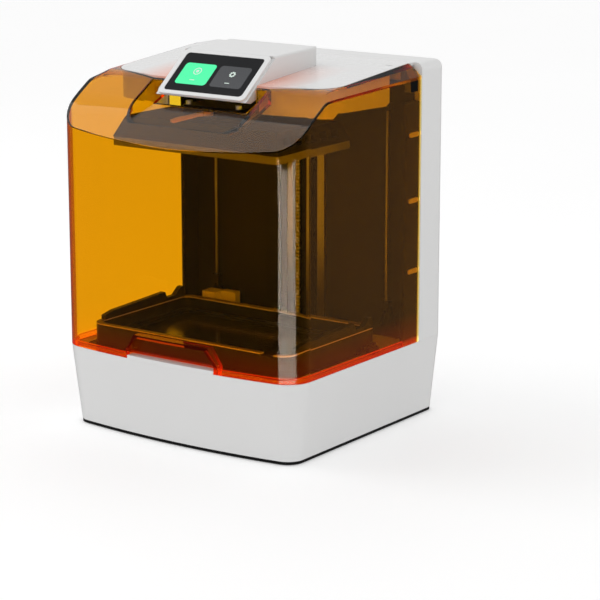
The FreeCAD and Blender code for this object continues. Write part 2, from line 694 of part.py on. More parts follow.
def make_vat_frame():
    body = rounded_rectangle(-VAT_HALF_X, VAT_HALF_X, VAT_Y0, VAT_Y1, 14.0, BASE_TOP, VAT_RIM)
    wing_line = [(-95.0, VAT_RIM - 3.0), (-95.0, 114.5), (-80.0, 117.5), (6.0, 121.0), (9.0, 114.0),
                 (24.0, 114.0), (34.0, 121.5), (38.0, 122.0), (40.0, 114.0), (40.0, VAT_RIM - 3.0)]
    wing = side_prism(wing_line, VAT_HALF_X - 6.0, VAT_HALF_X)
    flange = box(VAT_HALF_X - 2.0, VAT_HALF_X + 3.0, 6.0, 38.0, BASE_TOP, BASE_TOP + 3.0)
    whole = body.fuse([wing, mirrored(wing), flange, mirrored(flange)])
    under = centred(RING_HALF_X + 0.5, RING_HALF_Y + 0.5, BASE_TOP - 1.0, FILM_Z + FILM_T)
    window = centred(SCREEN_HALF_X + 1.4, SCREEN_HALF_Y + 1.4, BASE_TOP, VAT_RIM + 20.0)
    basin = rounded_rectangle(-VAT_HALF_X + 6.0, VAT_HALF_X - 6.0, VAT_Y0 + 6.0, VAT_Y1 - 8.0, 9.0,
                              VAT_LIP_TOP, VAT_RIM + 20.0)
    spout = side_prism([(VAT_Y0 - 1.0, VAT_RIM - 3.0), (VAT_Y0 + 10.0, VAT_RIM - 3.0),
                        (VAT_Y0 + 10.0, VAT_RIM + 1.0), (VAT_Y0 - 1.0, VAT_RIM + 1.0)], 96.0, 112.0)
    return minus(whole, under, window, basin, spout, make_ring_screws())


def vat_latch(side):
    """Turn latch: a post in the base and a nose that reaches over the vat's foot."""
    x = side * LATCH_X
    post = cylinder(LATCH_POST_R, vec(x, LATCH_Y, BASE_TOP - WALL), Z_AXIS, 8.0)
    disc = cylinder(LATCH_DISC_R, vec(x, LATCH_Y, BASE_TOP + 3.2), Z_AXIS, 4.6)
    nose_end = side * (VAT_HALF_X + 0.8)
    nose = box(min(x, nose_end), max(x, nose_end), LATCH_Y - 4.0, LATCH_Y + 4.0,
               BASE_TOP + 3.2, BASE_TOP + 6.4)
    grip = box(x - 1.6, x + 1.6, LATCH_Y - 6.5, LATCH_Y + 6.5, BASE_TOP + 7.8, BASE_TOP + 11.5)
    return fused([post, disc, nose, grip])


# ---- column and lifting axis --------------------------------------------------------------
def column_outer():
    block = box(-HALF_W, HALF_W, COLUMN_Y, REAR_Y, BASE_TOP, COLUMN_TOP)
    uprights = edges_where(block, lambda edge, p: abs(p.z - (BASE_TOP + COLUMN_TOP) / 2.0) < 1.0
                           and p.y > REAR_Y - 1.0)
    block = block.makeFillet(REAR_CORNER_R, uprights)
    tops = edges_where(block, lambda edge, p: abs(p.z - COLUMN_TOP) < 0.01 and p.y > COLUMN_Y + 1.0)
    return block.makeFillet(COLUMN_EDGE_R, tops)


def panel_screw(x, z):
    shank = cylinder(SCREW_SHANK_R, vec(x, REAR_Y - 9.0, z), Y_AXIS, 8.0)
    head = cylinder(SCREW_HEAD_R, vec(x, REAR_Y - 2.2, z), Y_AXIS, 1.8)
    return shank.fuse(head)


def make_column_shell():
    hollow = box(-HALF_W + WALL, HALF_W - WALL, COLUMN_Y + WALL, REAR_Y - WALL, BASE_TOP - 1.0,
                 COLUMN_TOP - WALL)
    hollow = hollow.makeFillet(7.0, edges_where(
        hollow, lambda edge, p: p.y > REAR_Y - WALL - 1.0 and abs(p.x) > HALF_W - WALL - 1.0
        and p.z < COLUMN_TOP - WALL - 1.0 and p.z > BASE_TOP + 1.0))
    window = box(-138.0, 138.0, COLUMN_Y - 1.0, COLUMN_Y + WALL + 1.0, BASE_TOP - 1.0, 358.0)
    window = window.fuse(box(-16.0, 16.0, COLUMN_Y - 1.0, COLUMN_Y + WALL + 1.0, 350.0, 366.0))
    rear = rounded_rectangle(-134.4, 134.4, -361.4, -99.6, 8.0, 0.0, 20.0)
    rear.rotate(vec(0, 0, 0), X_AXIS, -90.0)
    rear.translate(vec(0, REAR_Y - 10.0, 0))
    ledge = box(-HALF_W + 1.0, HALF_W - 1.0, REAR_Y - 6.4, REAR_Y - 3.2, 94.0, 370.0)
    ledge = ledge.cut(box(-122.0, 122.0, REAR_Y - 10.0, REAR_Y, 104.0, 346.0))
    shell = column_outer().cut(hollow).cut(window)
    shell = shell.cut(rear).fuse(ledge.common(column_outer()))
    screws = [panel_screw(x, z) for x, z in PANEL_SCREWS]
    return minus(shell, *screws)


def make_housing_screws():
    """Countersunk screws of the bottom tray and of the rear panel."""
    screws = [tray_screw(x, y) for x, y in BOSS_PLACES]
    return group(screws + [panel_screw(x, z) for x, z in PANEL_SCREWS])


def upright_panel(x0, x1, z0, z1, radius, y0, y1):
    """Plate that stands in the XZ plane, with rounded corners."""
    plate = rounded_rectangle(x0, x1, -z1, -z0, radius, 0.0, y1 - y0)
    plate.rotate(vec(0, 0, 0), X_AXIS, -90.0)
    plate.translate(vec(0, y0, 0))
    return plate


def make_rear_panel():
    panel = upright_panel(-134.0, 134.0, 100.0, 361.0, 7.6, REAR_Y - 3.0, REAR_Y - 0.2)
    slots = []
    for i in range(-4, 5):
        reach = math.sqrt(28.0 ** 2 - (i * 6.2) ** 2)
        slots.append(box(EXHAUST_X - reach, EXHAUST_X + reach, REAR_Y - 5.0, REAR_Y + 1.0,
                         EXHAUST_Z + i * 6.2 - 1.6, EXHAUST_Z + i * 6.2 + 1.6))
    slots += [box(-110.0, -50.0, REAR_Y - 5.0, REAR_Y + 1.0, z - 1.5, z + 1.5)
              for z in range(276, 326, 8)]
    screws = [panel_screw(x, z) for x, z in PANEL_SCREWS]
    return minus(panel, *slots, *screws)


def make_back_panels():
    """Dark panels on the column's front, one each side of the lifting axis."""
    panel = box(-PANEL_HALF_X, PANEL_HALF_X, COLUMN_Y - 3.0, COLUMN_Y, BASE_TOP, PANEL_TOP)
    slot = box(-PANEL_SLOT_HALF_X, PANEL_SLOT_HALF_X, COLUMN_Y - 5.0, COLUMN_Y + 1.0,
               BASE_TOP - 1.0, PANEL_TOP + 1.0)
    return panel.cut(slot)


def make_hood_guides():
    """Upright cheeks inside the hood's rear edge, one each side."""
    cheek = rounded_rectangle(GUIDE_X0, GUIDE_X1, 68.0, 110.0, 2.0, BASE_TOP, 346.0)
    return both_sides(cheek.common(box(140.0, 150.0, 60.0, COLUMN_Y, BASE_TOP, 360.0)))


def make_guide_tabs():
    """Low rounded pads that centre the hood as it closes."""
    pads = []
    for z in TAB_HEIGHTS:
        pad = rounded_rectangle(-9.0, 9.0, -2.6, 2.6, 2.5, 0.0, 1.2)
        pad.rotate(vec(0, 0, 0), X_AXIS, 90.0)
        pad.rotate(vec(0, 0, 0), Z_AXIS, 90.0)
        pad.translate(vec(GUIDE_X1, 84.0, z))
        pads += [pad, mirrored(pad)]
    return group(pads)


def make_z_profile():
    """Slotted aluminium upright that carries the rails."""
    block = box(-30.0, 30.0, PROFILE_Y, 135.0, BASE_TOP, PROFILE_TOP)
    slots = [box(x - 4.0, x + 4.0, 127.0, 140.0, BASE_TOP - 1.0, PROFILE_TOP + 4.0) for x in (-15.0, 15.0)]
    slots += [box(sx * 30.0 - 5.0, sx * 30.0 + 5.0, 117.0, 125.0, BASE_TOP - 1.0, PROFILE_TOP + 4.0)
              for sx in (-1, 1)]
    slots.append(box(-7.0, 7.0, PROFILE_Y - 1.0, PROFILE_Y + 5.0, BASE_TOP - 1.0, PROFILE_TOP + 4.0))
    return minus(block, *slots)


def rail(x):
    """Profiled linear rail, waisted so that the block can hold it."""
    outline = [(-4.5, 0.0), (4.5, 0.0), (4.5, 2.2), (3.3, 3.4), (4.5, 4.6), (4.5, 6.0),
               (-4.5, 6.0), (-4.5, 4.6), (-3.3, 3.4), (-4.5, 2.2)]
    points = [vec(x + px, PROFILE_Y - py, BASE_TOP + 5.0) for px, py in outline + outline[:1]]
    return Part.Face(Part.makePolygon(points)).extrude(vec(0, 0, 355.0 - BASE_TOP))


def make_linear_rails():
    return group(rail(x) for x in (-RAIL_X, RAIL_X))


def make_rail_blocks():
    blocks = []
    for x in (-RAIL_X, RAIL_X):
        block = box(x - 8.5, x + 8.5, 98.4, PROFILE_Y - 0.8, CARRIAGE_Z0 + 4.0, CARRIAGE_Z1 - 4.0)
        groove = [(-4.55, -1.0), (4.55, -1.0), (4.55, 2.2), (3.35, 3.4), (4.55, 4.6), (4.55, 6.05),
                  (-4.55, 6.05), (-4.55, 4.6), (-3.35, 3.4), (-4.55, 2.2)]
        points = [vec(x + px, PROFILE_Y - py, CARRIAGE_Z0) for px, py in groove + groove[:1]]
        cutter = Part.Face(Part.makePolygon(points)).extrude(vec(0, 0, 60.0))
        blocks.append(block.cut(cutter))
    return group(blocks)


def make_lead_screw():
    """The screw is the motor's own long shaft, supported at its top."""
    foot = MOTOR_Z0 + 16.0
    return cylinder(SCREW_R, vec(0, SCREW_Y, foot), Z_AXIS, BEARING_Z1 - foot)


def make_z_motor():
    body = box(-MOTOR_HALF, MOTOR_HALF, SCREW_Y - MOTOR_HALF, SCREW_Y + MOTOR_HALF,
               MOTOR_Z0, BASE_TOP - WALL)
    middle = (MOTOR_Z0 + BASE_TOP - WALL) / 2.0
    uprights = edges_where(body, lambda edge, p: abs(p.z - middle) < 0.5)
    body = body.makeChamfer(4.0, uprights)
    collar = cylinder(10.0, vec(0, SCREW_Y, BASE_TOP - WALL), Z_AXIS, 2.0)
    bore = cylinder(SCREW_R + RUNNING_GAP, vec(0, SCREW_Y, 59.0), Z_AXIS, 40.0)
    return body.fuse(collar).cut(bore)


def make_bearing_block():
    block = box(-14.0, 14.0, SCREW_Y - 8.0, PROFILE_Y, BEARING_Z0, BEARING_Z1)
    bore = cylinder(SCREW_R + RUNNING_GAP, vec(0, SCREW_Y, BEARING_Z0 - 5.0), Z_AXIS, 20.0)
    return block.cut(bore)


def make_lead_nut():
    sleeve = cylinder(7.0, vec(0, SCREW_Y, CARRIAGE_Z0 - 1.0), Z_AXIS, 20.0)
    flange = cylinder(9.0, vec(0, SCREW_Y, CARRIAGE_Z0 - 1.0), Z_AXIS, 3.0)
    bore = cylinder(SCREW_R + RUNNING_GAP, vec(0, SCREW_Y, CARRIAGE_Z0 - 5.0), Z_AXIS, 40.0)
    return sleeve.fuse(flange).cut(bore)


def make_carriage():
    block = box(-29.0, 29.0, CARRIAGE_Y, 98.4, CARRIAGE_Z0, CARRIAGE_Z1)
    uprights = edges_where(block, lambda edge, p: p.y < CARRIAGE_Y + 0.1 and abs(p.x) > 28.0)
    block = block.makeFillet(3.0, uprights)
    clear = cylinder(SCREW_R + 0.6, vec(0, SCREW_Y, CARRIAGE_Z0 - 1.0), Z_AXIS, 60.0)
    throat = box(-SCREW_R - 0.6, SCREW_R + 0.6, SCREW_Y, 100.0, CARRIAGE_Z0 - 1.0, CARRIAGE_Z1 + 1.0)
    seat = cylinder(7.0, vec(0, SCREW_Y, CARRIAGE_Z0 - 1.0), Z_AXIS, 20.0)
    lip = cylinder(9.0, vec(0, SCREW_Y, CARRIAGE_Z0 - 1.0), Z_AXIS, 3.0)
    return minus(block, clear, throat, seat, lip)


# ---- platform -----------------------------------------------------------------------------
def make_platform_arm():
    """Cantilever from the carriage to the platform, ribbed and lightened."""
    beam = box(-24.0, 24.0, -40.0, CARRIAGE_Y, ARM_Z0, ARM_Z1)
    pockets = [box(-18.0, 18.0, y, y + 22.0, ARM_Z0 + 4.0, ARM_Z1 + 1.0) for y in (2.0, 29.0, 56.0)]
    gusset = side_prism([(CARRIAGE_Y, 312.0), (CARRIAGE_Y, ARM_Z0), (CARRIAGE_Y - 24.0, ARM_Z0)],
                        -22.0, 22.0)
    return minus(fused([beam, gusset]), *pockets)


def make_platform_mount():
    """Clamp block on top of the platform, with two jaws that hold the lever's pin."""
    block = rounded_rectangle(-38.0, 38.0, -68.0, -6.0, 5.0, BODY_TOP, ARM_Z1)
    jaws = [box(-9.0, 9.0, LEVER_Y - 8.0, -64.0, z, z + JAW_T)
            for z in (LEVER_Z0 - 0.3 - JAW_T, LEVER_Z1 + 0.3)]
    slot = box(-24.0, 24.0, -40.0, -5.0, ARM_Z0, ARM_Z1 + 1.0)
    recess = cylinder(LEVER_HUB_R + 1.0, vec(0, LEVER_Y, LEVER_Z0 - 0.3), Z_AXIS,
                      LEVER_Z1 - LEVER_Z0 + 0.6)
    bore = cylinder(2.0, vec(0, LEVER_Y, BODY_TOP), Z_AXIS, 30.0)
    return minus(fused([block] + jaws), slot, recess, bore, make_level_screws())


def make_lever_pin():
    return cylinder(2.0, vec(0, LEVER_Y, LEVER_Z0 - JAW_T), Z_AXIS, LEVER_Z1 - LEVER_Z0 + 2.0 * JAW_T)


def make_quick_lever():
    """Lever that clamps the platform: hub on the pin and a slim handle to the front."""
    hub = cylinder(LEVER_HUB_R, vec(0, LEVER_Y, LEVER_Z0), Z_AXIS, LEVER_Z1 - LEVER_Z0)
    tip = LEVER_Y - LEVER_REACH
    handle = side_prism([(LEVER_Y, LEVER_Z0), (LEVER_Y - 11.0, LEVER_Z0), (tip + 6.0, LEVER_Z0 - 4.0),
                         (tip, LEVER_Z0 - 4.6), (tip - 1.0, LEVER_Z0 - 2.0), (tip + 6.0, LEVER_Z0),
                         (LEVER_Y, LEVER_Z1 - 0.6)], -2.8, 2.8)
    bore = cylinder(2.0 + RUNNING_GAP, vec(0, LEVER_Y, BODY_TOP), Z_AXIS, 30.0)
    lever = fused([hub, handle]).cut(bore)
    lever.rotate(vec(0, LEVER_Y, 0), Z_AXIS, LEVER_REST_DEG)
    return lever


def make_platform_body():
    """Frame on the plate's back: sloping front and sides, drain windows in the sides."""
    low = Part.makePolygon([vec(x, y, PLATE_Z + PLATE_T) for x, y in
                            ((-PLATE_HALF_X, PLATE_Y0), (PLATE_HALF_X, PLATE_Y0),
                             (PLATE_HALF_X, PLATE_Y1), (-PLATE_HALF_X, PLATE_Y1),
                             (-PLATE_HALF_X, PLATE_Y0))])
    high = Part.makePolygon([vec(x, y, BODY_TOP) for x, y in
                             ((-PLATE_HALF_X + 8.0, PLATE_Y0 + 12.0),
                              (PLATE_HALF_X - 8.0, PLATE_Y0 + 12.0),
                              (PLATE_HALF_X - 8.0, PLATE_Y1 - 8.0),
                              (-PLATE_HALF_X + 8.0, PLATE_Y1 - 8.0),
                              (-PLATE_HALF_X + 8.0, PLATE_Y0 + 12.0))])
    block = Part.makeLoft([low, high], True, True)
    well = rounded_rectangle(-90.0, 90.0, PLATE_Y0 + 20.0, PLATE_Y1 - 14.0, 6.0,
                             PLATE_Z + PLATE_T + 3.0, BODY_TOP - 3.0)
    windows = []
    for y in (-74.0, -54.0, -34.0, -14.0, 6.0):
        windows.append(box(-130.0, 130.0, y - 6.0, y + 6.0, PLATE_Z + 14.0, PLATE_Z + 22.0))
    return minus(block, well, *windows)


def make_build_plate():
    plate = box(-PLATE_HALF_X, PLATE_HALF_X, PLATE_Y0, PLATE_Y1, PLATE_Z, PLATE_Z + PLATE_T)
    uprights = edges_where(plate, lambda edge, p: abs(p.z - PLATE_Z - PLATE_T / 2.0) < 0.1)
    return plate.makeFillet(2.5, uprights)


def make_level_screws():
    """Four socket-head screws that set the platform level."""
    screws = []
    for x, y in LEVEL_PLACES:
        head = cylinder(3.6, vec(x, y, ARM_Z1), Z_AXIS, 4.0)
        socket = cylinder(1.6, vec(x, y, ARM_Z1 + 1.5), Z_AXIS, 4.0)
        shank = cylinder(2.0, vec(x, y, BODY_TOP), Z_AXIS, ARM_Z1 - BODY_TOP)
        screws.append(head.fuse(shank).cut(socket))
    return group(screws)


# ---- resin feed ---------------------------------------------------------------------------
def make_feed_pipes():
    """Two thin uprights that bring resin down the back panel."""
    return both_sides(cylinder(PIPE_R, vec(PIPE_X, PIPE_Y, PIPE_Z0), Z_AXIS, PIPE_Z1 - PIPE_Z0))


def make_pipe_brackets():
    """At the foot of each pipe, a block on two splayed legs; at the top, a clip."""
    foot = box(PIPE_X - 5.0, PIPE_X + 5.0, PIPE_Y - 4.0, COLUMN_Y - 3.0, 118.0, 128.0)
    legs = [front_prism([(PIPE_X + s * 1.0, 119.0), (PIPE_X + s * 4.0, 119.0),
                         (PIPE_X + s * 11.0, 101.0), (PIPE_X + s * 7.0, 101.0)],
                        PIPE_Y - 3.0, COLUMN_Y - 3.0) for s in (-1, 1)]
    clip = box(PIPE_X - 4.0, PIPE_X + 4.0, PIPE_Y - 3.0, COLUMN_Y - 3.0, 334.0, 342.0)
    side = [fused([foot] + legs), clip]
    pipe = cylinder(PIPE_R, vec(PIPE_X, PIPE_Y, PIPE_Z0), Z_AXIS, PIPE_Z1 - PIPE_Z0)
    side = [piece.cut(pipe) for piece in side]
    return group(side + [mirrored(piece) for piece in side])


def make_feed_block():
    """Light-coloured block beside the left pipe, on the base behind the vat."""
    block = rounded_rectangle(-118.0, -80.0, 66.0, 88.0, 2.0, BASE_TOP, 112.0)
    step = box(-100.0, -70.0, 60.0, 78.0, 100.0, 120.0)
    leg_room = box(-PIPE_X - 13.0, -PIPE_X + 13.0, PIPE_Y - 4.0, 100.0, 100.0, 130.0)
    return minus(block, step, leg_room)


# ---- roof and head ------------------------------------------------------------------------
def roof_top_z(y):
    run = (y - ROOF_FRONT_Y) / (HINGE_Y - ROOF_FRONT_Y)
    return ROOF_FRONT_Z + (COLUMN_TOP - ROOF_FRONT_Z) * run


def make_roof_shell():
    slab = side_prism([(ROOF_FRONT_Y - 10.0, roof_top_z(ROOF_FRONT_Y - 10.0)),
                       (HINGE_Y, COLUMN_TOP), (COLUMN_Y, COLUMN_TOP),
                       (COLUMN_Y, COLUMN_TOP - ROOF_T), (HINGE_Y, COLUMN_TOP - ROOF_T),
                       (ROOF_FRONT_Y - 10.0, roof_top_z(ROOF_FRONT_Y - 10.0) - ROOF_T)],
                      -ROOF_HALF_X, ROOF_HALF_X)
    roof = slab.common(roof_plan(0.0, 340.0, 420.0, COLUMN_Y))
    cable_hole = box(-20.0, 20.0, -20.0, 10.0, 340.0, 400.0)
    chin_notch = box(-HEAD_HALF_X, HEAD_HALF_X, ROOF_FRONT_Y - 5.0, CHIN_REAR_Y, 340.0, 400.0)
    return minus(roof, cable_hole, chin_notch, make_roof_plugs())


def slot_plug(x, y, half_length, top):
    """Small oblong plug, let in so that its upper face lies at this height."""
    return rounded_rectangle(x - half_length, x + half_length, y - 1.4, y + 1.4, 1.3, top - 2.4, top)


def make_roof_plugs():
    """Oblong plugs near the roof's rear corners and on top of the head."""
    roof = [slot_plug(x, y, 4.5, roof_top_z(y) - 0.1) for x, y in ROOF_PLUG_PLACES]
    head = [slot_plug(x, y, 3.0, head_top_z(y) - 0.1) for x, y in HEAD_PLUG_PLACES]
    return group(roof + head)


def make_roof_skirts():
    """Deep walls under the roof's edge, from the head round each front corner to the sides."""
    outer = roof_plan(-SKIRT_INSET, SKIRT_FOOT_Z, COLUMN_TOP, SKIRT_REAR_Y)
    wall = outer.cut(roof_plan(-SKIRT_INSET - SKIRT_T, SKIRT_FOOT_Z - 1.0, COLUMN_TOP + 1.0,
                               SKIRT_REAR_Y + 10.0))
    front = ROOF_FRONT_Y - 10.0
    outline = [(front, SKIRT_FOOT_Z), (-44.0, SKIRT_FOOT_Z), (-40.0, 348.5), (44.0, 345.6),
               (SKIRT_REAR_Y, 349.0), (SKIRT_REAR_Y, roof_top_z(SKIRT_REAR_Y) - ROOF_T),
               (front, roof_top_z(front) - ROOF_T)]
    return both_sides(wall.common(side_prism(outline, HEAD_HALF_X + 1.0, HALF_W)))


def head_top_z(y):
    run = (y - BEZEL_HIGH[0]) / (HEAD_REAR_Y - BEZEL_HIGH[0])
    return BEZEL_HIGH[1] + (HEAD_REAR_Z - BEZEL_HIGH[1]) * run


def head_profile():
    slope = math.atan2(BEZEL_HIGH[1] - BEZEL_LOW[1], BEZEL_HIGH[0] - BEZEL_LOW[0])
    drop_y = BEZEL_T * math.sin(slope)
    drop_z = BEZEL_T * math.cos(slope)
    low = (BEZEL_LOW[0] + drop_y, BEZEL_LOW[1] - drop_z)
    high = (BEZEL_HIGH[0] + drop_y, BEZEL_HIGH[1] - drop_z)
    return [low, high, BEZEL_HIGH, (HEAD_REAR_Y, HEAD_REAR_Z),
            (HEAD_REAR_Y, roof_top_z(HEAD_REAR_Y)), (CHIN_REAR_Y, roof_top_z(CHIN_REAR_Y)),
            (CHIN_REAR_Y, CHIN_REAR_Z), CHIN_BOTTOM]


def make_head_shell():
    outer = side_prism(head_profile(), -HEAD_HALF_X, HEAD_HALF_X)
    tops = edges_where(outer, lambda edge, p: abs(abs(p.x) - HEAD_HALF_X) < 0.01 and p.z > 399.6
                       and abs(p.y - 2.0) < 20.0)
    rear = edges_where(outer, lambda edge, p: abs(abs(p.x) - HEAD_HALF_X) < 0.01
                       and abs(p.y - HEAD_REAR_Y) < 0.01)
    outer = outer.makeFillet(HEAD_R, tops + rear)
    inner = side_prism([(CHIN_REAR_Y + 3.0, roof_top_z(CHIN_REAR_Y + 3.0) - 1.0),
                        (CHIN_REAR_Y + 3.0, 376.5), (-33.0, 391.0), (HEAD_REAR_Y - 3.0, 398.6),
                        (HEAD_REAR_Y - 3.0, roof_top_z(HEAD_REAR_Y - 3.0) - 1.0)],
                       -HEAD_HALF_X + 3.0, HEAD_HALF_X - 3.0)
    return minus(outer, inner, sloped(centred_plate(96.0, 50.0, 3.0, -BEZEL_T - 2.4, 0.0)),
                 make_roof_plugs())


def centred_plate(width, length, radius, z0, z1):
    return rounded_rectangle(-width / 2.0, width / 2.0, -length / 2.0, length / 2.0, radius, z0, z1)


def sloped(shape):
    """Carry a flat piece from the origin to the sloping screen frame."""
    rise = BEZEL_HIGH[1] - BEZEL_LOW[1]
    run = BEZEL_HIGH[0] - BEZEL_LOW[0]
    shape.rotate(vec(0, 0, 0), X_AXIS, math.degrees(math.atan2(rise, run)))
    shape.translate(vec(0, (BEZEL_LOW[0] + BEZEL_HIGH[0]) / 2.0, (BEZEL_LOW[1] + BEZEL_HIGH[1]) / 2.0))
    return shape


def make_screen_bezel():
    length = math.hypot(BEZEL_HIGH[1] - BEZEL_LOW[1], BEZEL_HIGH[0] - BEZEL_LOW[0])
    frame = centred_plate(BEZEL_WIDTH, length, 6.0, -BEZEL_T, 0.0)
    hole = centred_plate(GLASS_WIDTH + 0.4, GLASS_LENGTH + 0.4, 4.2, -BEZEL_T - 1.0, 1.0)
    return sloped(frame.cut(hole))


def make_touch_glass():
    return sloped(centred_plate(GLASS_WIDTH, GLASS_LENGTH, 4.0, -GLASS_T - 0.2, -0.2))


def make_display_panel():
    return sloped(centred_plate(95.0, 49.0, 2.0, -BEZEL_T - 2.0, -GLASS_T - 0.2))


# ---- hood hardware ------------------------------------------------------------------------
def make_hood_ears():
    """Pivot ears bonded under the hood's shoulders, each with its own pin."""
    disc = cylinder(7.0, vec(142.7, HINGE_Y, HINGE_Z), X_AXIS, 10.0)
    pad = box(142.7, 152.7, HINGE_Y - 7.0, HINGE_Y + 7.0, HINGE_Z - 17.0, HINGE_Z)
    ear = disc.fuse(pad).common(hood_block(WALL, 200.0, HOOD_REAR_Y + 20.0))
    ear = ear.common(box(140.0, HALF_W - WALL, 0.0, HOOD_REAR_Y, 300.0, 400.0))
    pin = cylinder(HINGE_PIN_R, vec(138.0, HINGE_Y, HINGE_Z), X_AXIS, 6.0)
    return both_sides(ear.fuse(pin))


def make_hinge_brackets():
    """Brackets on the column that hold the hood's pins."""
    plate = box(137.6, 142.4, HINGE_Y - 7.0, COLUMN_Y, HINGE_Z - 8.0, HINGE_Z + 7.0)
    bore = cylinder(HINGE_PIN_R + RUNNING_GAP, vec(130.0, HINGE_Y, HINGE_Z), X_AXIS, 20.0)
    return both_sides(plate.cut(bore))


# ---- write every piece --------------------------------------------------------------------
PIECES = {
    "base_shell": make_base_shell,
    "bottom_tray": make_bottom_tray,
    "rubber_feet": make_rubber_feet,
    "housing_screws": make_housing_screws,
    "deck_plate": make_deck_plate,
    "screen_mount": make_screen_mount,
    "masking_screen": lambda: centred(SCREEN_HALF_X, SCREEN_HALF_Y, SCREEN_TOP - 1.6, SCREEN_TOP),
    "lens_array": make_lens_array,
    "light_box": make_light_box,
    "led_board": make_led_board,
    "heat_sink": make_heat_sink,
    "lamp_fan_frame": lambda: place_lamp_fan(fan_frame(LAMP_FAN_SIZE, 11.0)),
    "lamp_fan_rotor": lambda: place_lamp_fan(fan_rotor(LAMP_FAN_SIZE, 11.0)),
    "power_supply": make_power_supply,
    "main_board": make_main_board,
    "power_inlet": make_power_inlet,
    "rocker_housing": make_rocker_housing,
    "rocker_paddle": make_rocker_paddle,
    "usb_port": make_usb_port,
    "vat_frame": make_vat_frame,
    "release_film": make_release_film,
    "film_ring": make_film_ring,
    "film_ring_screws": make_ring_screws,
    "vat_latch_left": lambda: vat_latch(-1),
    "vat_latch_right": lambda: vat_latch(1),
    "column_shell": make_column_shell,
    "rear_panel": make_rear_panel,
    "exhaust_fan_frame": lambda: place_exhaust_fan(fan_frame(EXHAUST_SIZE, 15.0)),
    "exhaust_fan_rotor": lambda: place_exhaust_fan(fan_rotor(EXHAUST_SIZE, 15.0)),
    "back_panels": make_back_panels,
    "hood_guides": make_hood_guides,
    "guide_tabs": make_guide_tabs,
    "z_profile": make_z_profile,
    "linear_rails": make_linear_rails,
    "rail_blocks": make_rail_blocks,
    "lead_screw": make_lead_screw,
    "z_motor": make_z_motor,
    "bearing_block": make_bearing_block,
    "lead_nut": make_lead_nut,
    "carriage": make_carriage,
    "platform_arm": make_platform_arm,
    "platform_mount": make_platform_mount,
    "platform_body": make_platform_body,
    "build_plate": make_build_plate,
    "level_screws": make_level_screws,
    "lever_pin": make_lever_pin,
    "quick_lever": make_quick_lever,
    "feed_pipes": make_feed_pipes,
    "pipe_brackets": make_pipe_brackets,
    "feed_block": make_feed_block,
    "roof_shell": make_roof_shell,
    "roof_plugs": make_roof_plugs,
    "roof_skirts": make_roof_skirts,
    "head_shell": make_head_shell,
    "screen_bezel": make_screen_bezel,
    "touch_glass": make_touch_glass,
    "display_panel": make_display_panel,
    "hood": make_hood,
    "hood_ears": make_hood_ears,
    "hinge_brackets": make_hinge_brackets,
}

for name, maker in PIECES.items():
    export(name, maker())
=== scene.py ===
import json
import math

import bmesh
import bpy
from mathutils import Matrix, Vector


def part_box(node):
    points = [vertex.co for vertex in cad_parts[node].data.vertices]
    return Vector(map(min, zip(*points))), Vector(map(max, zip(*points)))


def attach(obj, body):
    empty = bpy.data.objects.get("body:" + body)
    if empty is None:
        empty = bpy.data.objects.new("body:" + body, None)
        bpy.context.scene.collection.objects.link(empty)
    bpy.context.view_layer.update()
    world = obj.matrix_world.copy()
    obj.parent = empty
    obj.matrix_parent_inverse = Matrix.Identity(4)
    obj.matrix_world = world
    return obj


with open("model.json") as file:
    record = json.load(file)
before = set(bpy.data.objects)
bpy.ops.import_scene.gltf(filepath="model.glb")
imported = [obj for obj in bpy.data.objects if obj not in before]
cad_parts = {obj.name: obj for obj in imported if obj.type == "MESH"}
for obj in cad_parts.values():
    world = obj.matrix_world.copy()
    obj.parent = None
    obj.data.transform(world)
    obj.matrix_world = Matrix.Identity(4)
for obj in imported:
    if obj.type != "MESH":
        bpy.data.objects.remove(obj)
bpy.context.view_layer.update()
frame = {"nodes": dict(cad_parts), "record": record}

# A desktop resin printer with a translucent orange hood. Metres, +Z up, the front faces -Y.
MM = 0.001

# ---- places read from the frame ----------------------------------------------------------
GLASS_LOW, GLASS_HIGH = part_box("touch_glass")
HOOD_LOW, HOOD_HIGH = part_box("hood")
HEAD_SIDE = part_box("head_shell")[1].x

# ---- sizes of details --------------------------------------------------------------------
# Each pair gives where a tone begins to change and where the change ends.
VAT_RIM = 109.4 * MM                        # height of the painted highlight line just under the vat's rim
VAT_RIM_LINE = (0.4 * MM, 0.7 * MM)         # above and below that height
ROOF_GLOW_BESIDE = (6.0 * MM, 50.0 * MM)    # outwards from the head's side, for the roof's painted glow
ROOF_GLOW_BACK = (-30.0 * MM, 45.0 * MM)    # along Y, for the roof's painted glow
HOOD_FOOT_EDGE = (3.0 * MM, 7.5 * MM)       # up from the hood's foot: the painted glow of its cut edge
HOOD_FOOT_FAINT_GLOW = (8.0 * MM, 34.0 * MM)      # up from the hood's foot: the fainter painted red glow
HOOD_REAR_EDGE = (2.2 * MM, 1.6 * MM)       # forward from the hood's rear: the painted glow of its cut edges
WHITE_EDGE_R = 0.6 * MM
METAL_EDGE_R = 0.4 * MM
WORN_EDGE_R = 1.2 * MM
RUBBED_EDGE_R = 0.9 * MM

# ---- the screen's picture: sizes ---------------------------------------------------------
SCREEN_SLOPE = (50.2, 39.7)  # run and rise of the tilted screen
GLASS_LIFT = 1.0 * MM        # from the glass's middle to its outer face
TILE_SIZE = (40.0 * MM, 30.0 * MM)
TILE_RADIUS = 4.0 * MM
TILE_X = 22.5 * MM
TILE_Y = -2.0 * MM
LIT_LOW = 0.02 * MM
LIT_STEP = 0.05 * MM
ICON_UP = 4.0 * MM
CAPTION_DOWN = 8.5 * MM
CAPTION_SIZE = (6.0 * MM, 1.0 * MM)
CAPTION_RADIUS = 0.4 * MM
TARGET_RING = (3.9 * MM, 4.9 * MM)
TARGET_DOT_R = 1.9 * MM
GEAR_RING = (1.7 * MM, 3.9 * MM)
GEAR_TEETH = 8
GEAR_STEPS = 64
GEAR_GAP = 0.82              # radius between the teeth, as a share of the outer one

